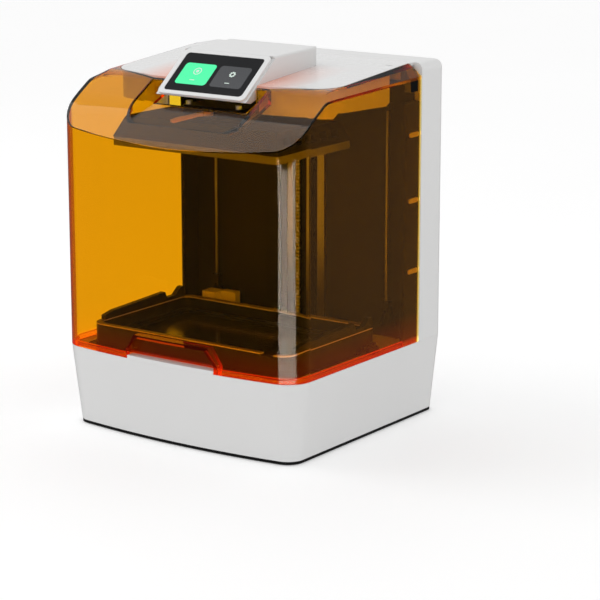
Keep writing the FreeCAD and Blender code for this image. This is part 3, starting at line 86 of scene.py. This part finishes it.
# ---- camera and studio -------------------------------------------------------------------
CAMERA_AZIMUTH = math.radians(35.54)
CAMERA_ELEVATION = math.radians(13.42)
CAMERA_PLACE = Vector((1.41537, -1.89117, 0.69324))
SENSOR_MM = 36.0
FOCAL_MM = 136.0
CLIP_START = 0.05
FLOOR_HALF = 12.0
FLOOR_GLOW = 0.25
WORLD_FRONT = 0.62
WORLD_TOP = 0.85
WORLD_BACK = 0.8
WORLD_BELOW = 0.17
TOP_RISE = (0.1, 0.75)       # Z of the directions between which the sky brightens
BACK_RISE = (-0.1, 0.6)      # Y of the directions between which the back brightens
HORIZON = (-0.12, 0.0)       # Z of the directions between which it darkens below
KEY_PLACE = (-1.05, -0.55, 1.55)
KEY_TARGET = (-0.05, -0.13, 0.33)
KEY_SIZE = (0.9, 0.9)
KEY_POWER = 4.5
SHEEN_PLACE = (0.335, -0.425, 0.085)
SHEEN_TARGET = (0.145, -0.125, 0.085)
SHEEN_SIZE = (0.55, 0.31)
SHEEN_POWER = 12.7
SHEEN_COLOUR = (1.0, 0.86, 0.72)

# ---- colours (linear) --------------------------------------------------------------------
WHITE = (0.80, 0.80, 0.795)
# painted glow on the roof beside the head
ROOF_PAINTED_GLOW = (0.88, 0.42, 0.32)
BLACK = (0.006, 0.0055, 0.0055)
BLACK_WORN = (0.02, 0.02, 0.02)
# painted highlight just under the vat's rim
VAT_RIM_PAINTED_HIGHLIGHT = (0.75, 0.6, 0.5)
# painted shade on the hood's upright faces seen at a glance
GRAZING_PAINTED_SHADE = (0.3, 0.05, 0.015)
ORANGE_PASS = (0.966, 0.846, 0.0)
ORANGE_DENSITY = 1100.0
# painted glow of the hood's cut edges at its foot and rear
FOOT_PAINTED_GLOW = (0.17, 0.008, 0.0006)
FAINT_GLOW_STRENGTH = 0.17
REAR_PAINTED_GLOW = (0.24, 0.25, 0.17)


# ---- node helpers ------------------------------------------------------------------------
class Look:
    """A material's node tree, built step by step."""

    def __init__(self, name):
        self.material = bpy.data.materials.new(name)
        self.material.use_nodes = True
        self.tree = self.material.node_tree
        self.shader = self.tree.nodes["Principled BSDF"]
        self.output = self.tree.nodes["Material Output"]
        self.place = None

    def add(self, kind, **settings):
        node = self.tree.nodes.new(kind)
        for key, value in settings.items():
            setattr(node, key, value)
        return node

    def link(self, source, target):
        self.tree.links.new(source, target)

    def set(self, **values):
        for key, value in values.items():
            self.shader.inputs[key.replace("_", " ")].default_value = value

    def coordinates(self):
        if self.place is None:
            self.place = self.add("ShaderNodeTexCoord").outputs["Object"]
        return self.place

    def noise(self, scale, detail=3.0, roughness=0.5, stretch=None):
        source = self.coordinates()
        if stretch is not None:
            mapping = self.add("ShaderNodeMapping")
            mapping.inputs["Scale"].default_value = stretch
            self.link(source, mapping.inputs["Vector"])
            source = mapping.outputs["Vector"]
        node = self.add("ShaderNodeTexNoise")
        node.inputs["Scale"].default_value = scale
        node.inputs["Detail"].default_value = detail
        node.inputs["Roughness"].default_value = roughness
        self.link(source, node.inputs["Vector"])
        return node.outputs["Fac"]

    def remap(self, value, from_low, from_high, to_low, to_high):
        node = self.add("ShaderNodeMapRange")
        node.inputs["From Min"].default_value = from_low
        node.inputs["From Max"].default_value = from_high
        node.inputs["To Min"].default_value = to_low
        node.inputs["To Max"].default_value = to_high
        self.link(value, node.inputs["Value"])
        return node.outputs["Result"]

    def mix(self, factor, colour_a, colour_b):
        node = self.add("ShaderNodeMix", data_type="RGBA")
        self.link(factor, node.inputs["Factor"])
        for socket, colour in ((node.inputs[6], colour_a), (node.inputs[7], colour_b)):
            if isinstance(colour, tuple):
                socket.default_value = (*colour[:3], 1.0)
            else:
                self.link(colour, socket)
        return node.outputs[2]

    def math(self, operation, a, b=0.0):
        node = self.add("ShaderNodeMath", operation=operation)
        for socket, value in ((node.inputs[0], a), (node.inputs[1], b)):
            if isinstance(value, (int, float)):
                socket.default_value = value
            else:
                self.link(value, socket)
        return node.outputs[0]

    def bump(self, height, strength, distance, normal=None):
        node = self.add("ShaderNodeBump")
        node.inputs["Strength"].default_value = strength
        node.inputs["Distance"].default_value = distance
        self.link(height, node.inputs["Height"])
        if normal is not None:
            self.link(normal, node.inputs["Normal"])
        return node.outputs["Normal"]

    def soft_edges(self, radius):
        node = self.add("ShaderNodeBevel", samples=4)
        node.inputs["Radius"].default_value = radius
        return node.outputs["Normal"]

    def axes(self, vector):
        """The X, Y and Z of a vector."""
        node = self.add("ShaderNodeSeparateXYZ")
        self.link(vector, node.inputs[0])
        return node.outputs

    def edge_mask(self, radius):
        """1 near a sharp edge and 0 on a face, from how far a rounded normal leans."""
        plain = self.add("ShaderNodeNewGeometry").outputs["Normal"]
        dot = self.add("ShaderNodeVectorMath", operation="DOT_PRODUCT")
        self.link(self.soft_edges(radius), dot.inputs[0])
        self.link(plain, dot.inputs[1])
        return self.remap(dot.outputs["Value"], 1.0, 0.86, 0.0, 1.0)


# ---- materials ---------------------------------------------------------------------------
def moulded_plastic(name, colour, roughness, grain=1500.0, coat=0.0, edge=WHITE_EDGE_R, tint=None,
                    grain_depth=0.003 * MM, wear=None, gloss=0.5):
    """Plastic with a faint cloudiness, fine grain and smudges, and if asked with worn edges."""
    look = Look(name)
    cloud = look.noise(6.0, 4.0)
    darker = tuple(c * 0.965 for c in colour)
    tone = look.mix(cloud, darker, colour)
    if wear is not None:
        worn = look.math("MULTIPLY", look.edge_mask(WORN_EDGE_R), look.noise(60.0))
        tone = look.mix(worn, tone, wear)
    # tint lays painted light on the tone: the roof's painted glow and the vat rim's painted
    # highlight
    if tint is not None:
        tone = tint(look, tone)
    look.link(tone, look.shader.inputs["Base Color"])
    fine = look.noise(grain, 2.0)
    smudge = look.noise(22.0, 5.0, 0.6)
    rough = look.math("ADD", look.remap(smudge, 0.3, 0.7, roughness - 0.035, roughness + 0.035),
                      look.remap(fine, 0.3, 0.7, -0.02, 0.02))
    look.link(rough, look.shader.inputs["Roughness"])
    normal = look.soft_edges(edge) if edge else None
    look.link(look.bump(fine, 0.35, grain_depth, normal), look.shader.inputs["Normal"])
    look.set(IOR=1.5, Coat_Weight=coat, Coat_Roughness=0.12, Specular_IOR_Level=gloss)
    return look.material


def white_plastic():
    return moulded_plastic("white_plastic", WHITE, 0.34, coat=0.15)


def roof_plastic():
    """White plastic with a painted glow beside the head, for the light the hood throws on it."""
    def painted_roof_glow(look, tone):
        place = look.axes(look.coordinates())
        side = look.math("ABSOLUTE", place["X"])
        near = look.remap(side, *(HEAD_SIDE + reach for reach in ROOF_GLOW_BESIDE), 1.0, 0.0)
        ahead = look.remap(place["Y"], *ROOF_GLOW_BACK, 1.0, 0.0)
        return look.mix(look.math("MULTIPLY", near, ahead), tone, ROOF_PAINTED_GLOW)
    return moulded_plastic("roof_plastic", WHITE, 0.26, coat=0.3, tint=painted_roof_glow)


def vat_plastic():
    """Black plastic with a painted highlight in a thin line just under its rim."""
    def rim(look, tone):
        height = look.axes(look.coordinates())["Z"]
        off_line = look.math("ABSOLUTE", look.math("SUBTRACT", height, VAT_RIM))
        return look.mix(look.remap(off_line, *VAT_RIM_LINE, 1.0, 0.0), tone, VAT_RIM_PAINTED_HIGHLIGHT)
    return moulded_plastic("vat_plastic", BLACK, 0.4, 500.0, edge=0.0, wear=BLACK_WORN,
                           gloss=0.3, tint=rim)


def black_plastic():
    return moulded_plastic("black_plastic", BLACK, 0.46, 500.0, edge=0.0, wear=BLACK_WORN,
                           gloss=0.2)


def dark_panel():
    return moulded_plastic("dark_panel", (0.006, 0.0055, 0.006), 0.55, 500.0, edge=0.0,
                           wear=(0.03, 0.03, 0.03), gloss=0.2)


def tab_plastic():
    return moulded_plastic("tab_plastic", (0.86, 0.8, 0.72), 0.45)


def rubber():
    return moulded_plastic("rubber", (0.012, 0.012, 0.012), 0.8, 1400.0, grain_depth=0.03 * MM)


def circuit_board():
    """Green board with a fine grid of traces."""
    look = Look("circuit_board")
    traces = look.add("ShaderNodeTexBrick", offset=0.5)
    traces.inputs["Scale"].default_value = 160.0
    traces.inputs["Mortar Size"].default_value = 0.03
    traces.inputs["Color1"].default_value = (0.01, 0.11, 0.05, 1.0)
    traces.inputs["Color2"].default_value = (0.012, 0.13, 0.06, 1.0)
    traces.inputs["Mortar"].default_value = (0.03, 0.2, 0.1, 1.0)
    look.link(look.coordinates(), traces.inputs["Vector"])
    look.link(traces.outputs["Color"], look.shader.inputs["Base Color"])
    look.link(look.remap(look.noise(40.0), 0.3, 0.7, 0.3, 0.45), look.shader.inputs["Roughness"])
    look.link(look.bump(traces.outputs["Fac"], 0.2, 0.1 * MM), look.shader.inputs["Normal"])
    return look.material


def metal(name, colour, roughness, stretch=(1.0, 1.0, 1.0), grain=900.0, depth=0.02 * MM):
    """Bare or anodised metal: fine directional grain and edges rubbed a little brighter."""
    look = Look(name)
    brushed = look.noise(grain, 3.0, 0.6, stretch)
    cloud = look.noise(14.0, 4.0)
    tone = look.mix(cloud, tuple(c * 0.88 for c in colour), colour)
    bright = tuple(min(1.0, c * 1.5 + 0.04) for c in colour)
    patchy = look.remap(look.noise(90.0), 0.35, 0.6, 0.2, 0.9)
    rubbed = look.math("MULTIPLY", look.edge_mask(RUBBED_EDGE_R), patchy)
    look.link(look.mix(rubbed, tone, bright), look.shader.inputs["Base Color"])
    look.link(look.remap(brushed, 0.3, 0.7, roughness - 0.06, roughness + 0.08),
              look.shader.inputs["Roughness"])
    look.link(look.bump(brushed, 0.4, depth, look.soft_edges(METAL_EDGE_R)),
              look.shader.inputs["Normal"])
    look.set(Metallic=1.0)
    return look.material


def lead_screw_steel():
    """Steel with the screw's thread as bands round it."""
    look = Look("screw_steel")
    wave = look.add("ShaderNodeTexWave", wave_type="BANDS", bands_direction="Z", wave_profile="TRI")
    wave.inputs["Scale"].default_value = 80.0
    look.link(look.coordinates(), wave.inputs["Vector"])
    tone = look.mix(wave.outputs["Fac"], (0.32, 0.31, 0.3), (0.75, 0.74, 0.73))
    look.link(tone, look.shader.inputs["Base Color"])
    look.link(look.bump(wave.outputs["Fac"], 0.9, 0.6 * MM), look.shader.inputs["Normal"])
    look.link(look.remap(look.noise(300.0), 0.3, 0.7, 0.18, 0.32), look.shader.inputs["Roughness"])
    look.set(Metallic=1.0)
    return look.material


def etched_plate():
    """Build plate: a fine cross-hatched face for the resin to grip."""
    look = Look("etched_plate")
    checker = look.add("ShaderNodeTexBrick", offset=0.5)
    checker.inputs["Scale"].default_value = 260.0
    checker.inputs["Mortar Size"].default_value = 0.08
    look.link(look.coordinates(), checker.inputs["Vector"])
    tone = look.mix(checker.outputs["Fac"], (0.3, 0.3, 0.31), (0.2, 0.2, 0.205))
    look.link(tone, look.shader.inputs["Base Color"])
    look.link(look.bump(checker.outputs["Fac"], 0.6, 0.1 * MM, look.soft_edges(0.6 * MM)),
              look.shader.inputs["Normal"])
    look.link(look.remap(look.noise(120.0), 0.3, 0.7, 0.36, 0.5), look.shader.inputs["Roughness"])
    look.set(Metallic=1.0)
    return look.material


def display_glass():
    """Black cover glass: smooth, with the faintest wipe marks."""
    look = Look("display_glass")
    look.set(Base_Color=(0.006, 0.0065, 0.008, 1.0), IOR=1.5, Specular_IOR_Level=0.12)
    wipes = look.noise(30.0, 5.0, 0.6, (1.0, 3.0, 1.0))
    look.link(look.remap(wipes, 0.3, 0.75, 0.05, 0.12), look.shader.inputs["Roughness"])
    look.link(look.bump(look.noise(8.0, 2.0), 0.05, 0.2 * MM, look.soft_edges(0.4 * MM)),
              look.shader.inputs["Normal"])
    return look.material


def lit_tile(name, colour, strength):
    """A lit area of the display: even light with a faint pixel grid."""
    look = Look(name)
    grid = look.add("ShaderNodeTexBrick", offset=0.0)
    grid.inputs["Scale"].default_value = 900.0
    grid.inputs["Mortar Size"].default_value = 0.05
    grid.inputs["Color1"].default_value = (*colour, 1.0)
    grid.inputs["Color2"].default_value = (*colour, 1.0)
    grid.inputs["Mortar"].default_value = (*(c * 0.8 for c in colour), 1.0)
    look.link(look.coordinates(), grid.inputs["Vector"])
    look.link(grid.outputs["Color"], look.shader.inputs["Base Color"])
    look.link(grid.outputs["Color"], look.shader.inputs["Emission Color"])
    look.set(Roughness=0.25, Emission_Strength=strength)
    return look.material


def clear_sheet(name, tint, roughness):
    """A thin clear sheet: see-through face on, and a mirror at a glance."""
    look = Look(name)
    see_through = look.add("ShaderNodeBsdfTransparent")
    see_through.inputs["Color"].default_value = (*tint, 1.0)
    facing = look.add("ShaderNodeLayerWeight")
    facing.inputs["Blend"].default_value = 0.5
    grazing = look.math("POWER", facing.outputs["Facing"], 5.0)
    mirror_share = look.math("ADD", look.math("MULTIPLY", grazing, 0.9), 0.05)
    blend = look.add("ShaderNodeMixShader")
    glossy = look.add("ShaderNodeBsdfGlossy")
    look.link(look.remap(look.noise(25.0, 4.0), 0.3, 0.7, roughness, roughness + 0.06),
              glossy.inputs["Roughness"])
    look.link(mirror_share, blend.inputs["Fac"])
    look.link(see_through.outputs[0], blend.inputs[1])
    look.link(glossy.outputs[0], blend.inputs[2])
    look.link(blend.outputs[0], look.output.inputs["Surface"])
    return look.material


def orange_acrylic():
    """Translucent orange acrylic: clear where thin, deep red where light runs a long way in it."""
    look = Look("orange_acrylic")
    # Painted shade: upright faces seen at a glance turn dark red, for the dark edges that
    # refraction gives.
    facing = look.add("ShaderNodeLayerWeight")
    facing.inputs["Blend"].default_value = 0.5
    turned_away = look.remap(facing.outputs["Facing"], 0.48, 0.58, 0.0, 1.0)
    normal = look.axes(look.add("ShaderNodeNewGeometry").outputs["Normal"])
    upright = look.remap(look.math("ABSOLUTE", normal["Z"]), 0.25, 0.5, 1.0, 0.0)
    painted_grazing_shade = look.math("MULTIPLY", turned_away, upright)
    look.link(look.mix(painted_grazing_shade, (1.0, 1.0, 1.0), GRAZING_PAINTED_SHADE), look.shader.inputs["Base Color"])
    # Painted glow: the foot and rear cut edges emit, for the light carried along the acrylic to
    # them.
    place = look.axes(look.coordinates())
    foot = look.remap(place["Z"], *(HOOD_LOW.z + up for up in HOOD_FOOT_EDGE), 1.0, 0.0)
    faint_foot_glow = look.remap(place["Z"], *(HOOD_LOW.z + up for up in HOOD_FOOT_FAINT_GLOW), FAINT_GLOW_STRENGTH, 0.0)
    rear = look.remap(place["Y"], *(HOOD_HIGH.y - depth for depth in HOOD_REAR_EDGE), 0.0, 1.0)
    glow = look.math("ADD", look.math("ADD", foot, faint_foot_glow), rear)
    look.link(glow, look.shader.inputs["Emission Strength"])
    look.link(look.mix(rear, FOOT_PAINTED_GLOW, REAR_PAINTED_GLOW), look.shader.inputs["Emission Color"])
    look.set(IOR=1.49, Transmission_Weight=1.0, Specular_Tint=(0.2, 0.2, 0.2, 1.0))
    look.link(look.remap(look.noise(18.0, 5.0, 0.6), 0.3, 0.75, 0.0, 0.03),
              look.shader.inputs["Roughness"])
    inside = look.add("ShaderNodeVolumeAbsorption")
    inside.inputs["Color"].default_value = (*ORANGE_PASS, 1.0)
    inside.inputs["Density"].default_value = ORANGE_DENSITY
    look.link(inside.outputs[0], look.output.inputs["Volume"])
    return look.material


SLOT_LOOKS = {
    "white_plastic": white_plastic(),
    "hood_acrylic": orange_acrylic(),
    "black_plastic": black_plastic(),
    "dark_panel": dark_panel(),
    "tab_plastic": tab_plastic(),
    "rubber": rubber(),
    "zinc_screw": metal("zinc_screw", (0.55, 0.55, 0.54), 0.32),
    "rail_steel": metal("rail_steel", (0.3, 0.29, 0.28), 0.3, (8.0, 8.0, 0.5)),
    "black_aluminium": metal("black_aluminium", (0.008, 0.0075, 0.0075), 0.42, (1.0, 1.0, 0.1),
                             1800.0, 0.004 * MM),
    "plain_aluminium": metal("plain_aluminium", (0.6, 0.6, 0.61), 0.38),
    "plate_aluminium": etched_plate(),
    "sheet_steel": metal("sheet_steel", (0.4, 0.4, 0.41), 0.42, (1.0, 6.0, 1.0), 300.0),
    "brass": metal("brass", (0.78, 0.55, 0.22), 0.28),
    "screen_glass": display_glass(),
    "display": lit_tile("display_back", (0.01, 0.012, 0.016), 0.3),
    "lens": clear_sheet("lens", (0.93, 0.95, 0.95), 0.04),
    "film": clear_sheet("film", (0.95, 0.95, 0.95), 0.12),
    "circuit_board": circuit_board(),
    "lever_paint": moulded_plastic("lever_paint", (0.8, 0.5, 0.12), 0.34),
}


def give_look(piece, look):
    piece.data.materials.clear()
    piece.data.materials.append(look)


for entry in frame["record"]["subparts"]:
    give_look(frame["nodes"][entry["node"]], SLOT_LOOKS[entry["material_slot"]])
give_look(frame["nodes"]["lead_screw"], lead_screw_steel())
give_look(frame["nodes"]["roof_shell"], roof_plastic())
give_look(frame["nodes"]["vat_frame"], vat_plastic())


# ---- mesh helpers ------------------------------------------------------------------------
def piece_from_bmesh(name, mesh, look, body, smooth=True):
    data = bpy.data.meshes.new(name)
    mesh.to_mesh(data)
    mesh.free()
    piece = bpy.data.objects.new(name, data)
    bpy.context.scene.collection.objects.link(piece)
    data.materials.append(look)
    for face in data.polygons:
        face.use_smooth = smooth
    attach(piece, body)
    return piece


# ---- the screen's picture ----------------------------------------------------------------
SCREEN_TILT = math.atan2(SCREEN_SLOPE[1], SCREEN_SLOPE[0])
ALONG = Vector((0.0, math.cos(SCREEN_TILT), math.sin(SCREEN_TILT)))
OUTWARD = Vector((0.0, -math.sin(SCREEN_TILT), math.cos(SCREEN_TILT)))
SCREEN_MIDDLE = (GLASS_LOW + GLASS_HIGH) / 2.0 + OUTWARD * GLASS_LIFT
SCREEN_FRAME = Matrix((
    (1.0, ALONG.x, OUTWARD.x, SCREEN_MIDDLE.x),
    (0.0, ALONG.y, OUTWARD.y, SCREEN_MIDDLE.y),
    (0.0, ALONG.z, OUTWARD.z, SCREEN_MIDDLE.z),
    (0.0, 0.0, 0.0, 1.0)))


def rounded_outline(width, height, radius, steps=6):
    """Corner points of a rounded rectangle, going round once."""
    points = []
    for cx, cy, start in ((1, 1, 0), (-1, 1, 90), (-1, -1, 180), (1, -1, 270)):
        for i in range(steps + 1):
            angle = math.radians(start + 90.0 * i / steps)
            points.append((cx * (width / 2.0 - radius) + radius * math.cos(angle),
                           cy * (height / 2.0 - radius) + radius * math.sin(angle)))
    return points


def flat_plate(mesh, outline, middle, low, high):
    """A thin plate with this outline, between two heights over the screen."""
    rings = [[mesh.verts.new((middle[0] + x, middle[1] + y, z)) for x, y in outline]
             for z in (low, high)]
    count = len(outline)
    for i in range(count):
        j = (i + 1) % count
        mesh.faces.new((rings[0][i], rings[0][j], rings[1][j], rings[1][i]))
    mesh.faces.new(rings[1])
    mesh.faces.new(list(reversed(rings[0])))


def flat_ring(mesh, middle, radii, low, high, teeth=0, steps=32):
    """A thin ring, with optional teeth round its outside."""
    inner, outer = radii
    loops = []
    for z, at_outside in ((low, False), (low, True), (high, True), (high, False)):
        loop = []
        for i in range(steps):
            angle = math.tau * i / steps
            radius = outer if at_outside else inner
            if teeth and at_outside and (i * teeth * 2 // steps) % 2:
                radius = outer * GEAR_GAP
            loop.append(mesh.verts.new((middle[0] + radius * math.cos(angle),
                                        middle[1] + radius * math.sin(angle), z)))
        loops.append(loop)
    for k in range(4):
        a, b = loops[k], loops[(k + 1) % 4]
        for i in range(steps):
            j = (i + 1) % steps
            mesh.faces.new((a[i], a[j], b[j], b[i]))


def screen_piece(name, build, look, level):
    """A lit piece on the glass; level 1 lies on level 0."""
    mesh = bmesh.new()
    build(mesh, LIT_LOW + level * LIT_STEP, LIT_LOW + (level + 1) * LIT_STEP)
    mesh.transform(SCREEN_FRAME)
    return piece_from_bmesh(name, mesh, look, "chassis", smooth=False)


def disc_points(radius, steps=28):
    return [(radius * math.cos(math.tau * i / steps), radius * math.sin(math.tau * i / steps))
            for i in range(steps)]


def build_screen():
    green = lit_tile("screen_green", (0.02, 0.55, 0.22), 1.0)
    dark = lit_tile("screen_dark", (0.011, 0.013, 0.017), 0.5)
    pale = lit_tile("screen_pale", (0.42, 0.5, 0.45), 0.8)
    tile = rounded_outline(*TILE_SIZE, TILE_RADIUS)
    caption = rounded_outline(*CAPTION_SIZE, CAPTION_RADIUS)

    def left_tile(mesh, low, high):
        flat_plate(mesh, tile, (-TILE_X, TILE_Y), low, high)

    def right_tile(mesh, low, high):
        flat_plate(mesh, tile, (TILE_X, TILE_Y), low, high)

    def left_icon(mesh, low, high):
        centre = (-TILE_X, TILE_Y + ICON_UP)
        flat_ring(mesh, centre, TARGET_RING, low, high)
        flat_plate(mesh, disc_points(TARGET_DOT_R), centre, low, high)
        flat_plate(mesh, caption, (-TILE_X, TILE_Y - CAPTION_DOWN), low, high)

    def right_icon(mesh, low, high):
        centre = (TILE_X, TILE_Y + ICON_UP)
        flat_ring(mesh, centre, GEAR_RING, low, high, teeth=GEAR_TEETH, steps=GEAR_STEPS)
        flat_plate(mesh, caption, (TILE_X, TILE_Y - CAPTION_DOWN), low, high)

    screen_piece("screen_tile_left", left_tile, green, 0)
    screen_piece("screen_tile_right", right_tile, dark, 0)
    screen_piece("screen_icon_left", left_icon, pale, 1)
    screen_piece("screen_icon_right", right_icon, pale, 1)


build_screen()


# ---- studio ------------------------------------------------------------------------------
def area_light(name, place, target, size, power, colour=(1.0, 1.0, 1.0)):
    data = bpy.data.lights.new(name, "AREA")
    data.shape = "RECTANGLE"
    data.size, data.size_y = size
    data.energy = power
    data.color = colour
    lamp = bpy.data.objects.new(name, data)
    bpy.context.scene.collection.objects.link(lamp)
    lamp.location = place
    lamp.rotation_euler = (Vector(target) - Vector(place)).to_track_quat("-Z", "Y").to_euler()
    return lamp


def build_floor():
    mesh = bmesh.new()
    bmesh.ops.create_grid(mesh, x_segments=8, y_segments=8, size=FLOOR_HALF)
    data = bpy.data.meshes.new("floor")
    mesh.to_mesh(data)
    mesh.free()
    floor = bpy.data.objects.new("floor", data)
    bpy.context.scene.collection.objects.link(floor)
    look = Look("floor")
    tone = look.mix(look.noise(1.5), (0.86, 0.86, 0.86), (0.9, 0.9, 0.9))
    look.link(tone, look.shader.inputs["Base Color"])
    look.set(Roughness=0.6, Specular_IOR_Level=0.1, Emission_Color=(1.0, 1.0, 1.0, 1.0),
             Emission_Strength=FLOOR_GLOW)
    data.materials.append(look.material)
    floor.visible_glossy = False


def build_camera():
    back = Vector((math.sin(CAMERA_AZIMUTH) * math.cos(CAMERA_ELEVATION),
                   -math.cos(CAMERA_AZIMUTH) * math.cos(CAMERA_ELEVATION),
                   math.sin(CAMERA_ELEVATION)))
    data = bpy.data.cameras.new("camera")
    data.sensor_width = SENSOR_MM
    data.lens = FOCAL_MM
    data.clip_start = CLIP_START
    camera = bpy.data.objects.new("camera", data)
    bpy.context.scene.collection.objects.link(camera)
    camera.location = CAMERA_PLACE
    camera.rotation_euler = (-back).to_track_quat("-Z", "Y").to_euler()
    bpy.context.scene.camera = camera


def build_world():
    """Brighter overhead and behind, and dark below so that the hood's sides stay clear."""
    world = bpy.data.worlds.new("studio")
    bpy.context.scene.world = world
    world.use_nodes = True
    tree = world.node_tree
    background = tree.nodes["Background"]
    background.inputs["Color"].default_value = (1.0, 1.0, 1.0, 1.0)
    split = tree.nodes.new("ShaderNodeSeparateXYZ")
    tree.links.new(tree.nodes.new("ShaderNodeTexCoord").outputs["Generated"], split.inputs[0])

    def ramp(value, reach, start, end):
        node = tree.nodes.new("ShaderNodeMapRange")
        node.interpolation_type = "SMOOTHSTEP"
        for key, number in (("From Min", reach[0]), ("From Max", reach[1]), ("To Min", start),
                            ("To Max", end)):
            node.inputs[key].default_value = number
        tree.links.new(value, node.inputs["Value"])
        return node.outputs["Result"]

    larger = tree.nodes.new("ShaderNodeMath")
    larger.operation = "MAXIMUM"
    above = tree.nodes.new("ShaderNodeMath")
    above.operation = "MULTIPLY"
    tree.links.new(ramp(split.outputs["Z"], TOP_RISE, WORLD_FRONT, WORLD_TOP), larger.inputs[0])
    tree.links.new(ramp(split.outputs["Y"], BACK_RISE, WORLD_FRONT, WORLD_BACK), larger.inputs[1])
    tree.links.new(larger.outputs[0], above.inputs[0])
    tree.links.new(ramp(split.outputs["Z"], HORIZON, WORLD_BELOW, 1.0), above.inputs[1])
    tree.links.new(above.outputs[0], background.inputs["Strength"])


def build_lights():
    """A soft key light, and a light that only gives the hood's front corner its bright stripe."""
    area_light("key", KEY_PLACE, KEY_TARGET, KEY_SIZE, KEY_POWER)
    sheen = area_light("corner_sheen", SHEEN_PLACE, SHEEN_TARGET, SHEEN_SIZE, SHEEN_POWER,
                       SHEEN_COLOUR)
    sheen.visible_diffuse = False
    sheen.visible_camera = False
    sheen.visible_transmission = False
    hood_only = bpy.data.collections.new("hood_only")
    hood_only.objects.link(frame["nodes"]["hood"])
    sheen.light_linking.receiver_collection = hood_only


bpy.context.scene.view_settings.view_transform = "Standard"
build_floor()
build_world()
build_lights()
build_camera()
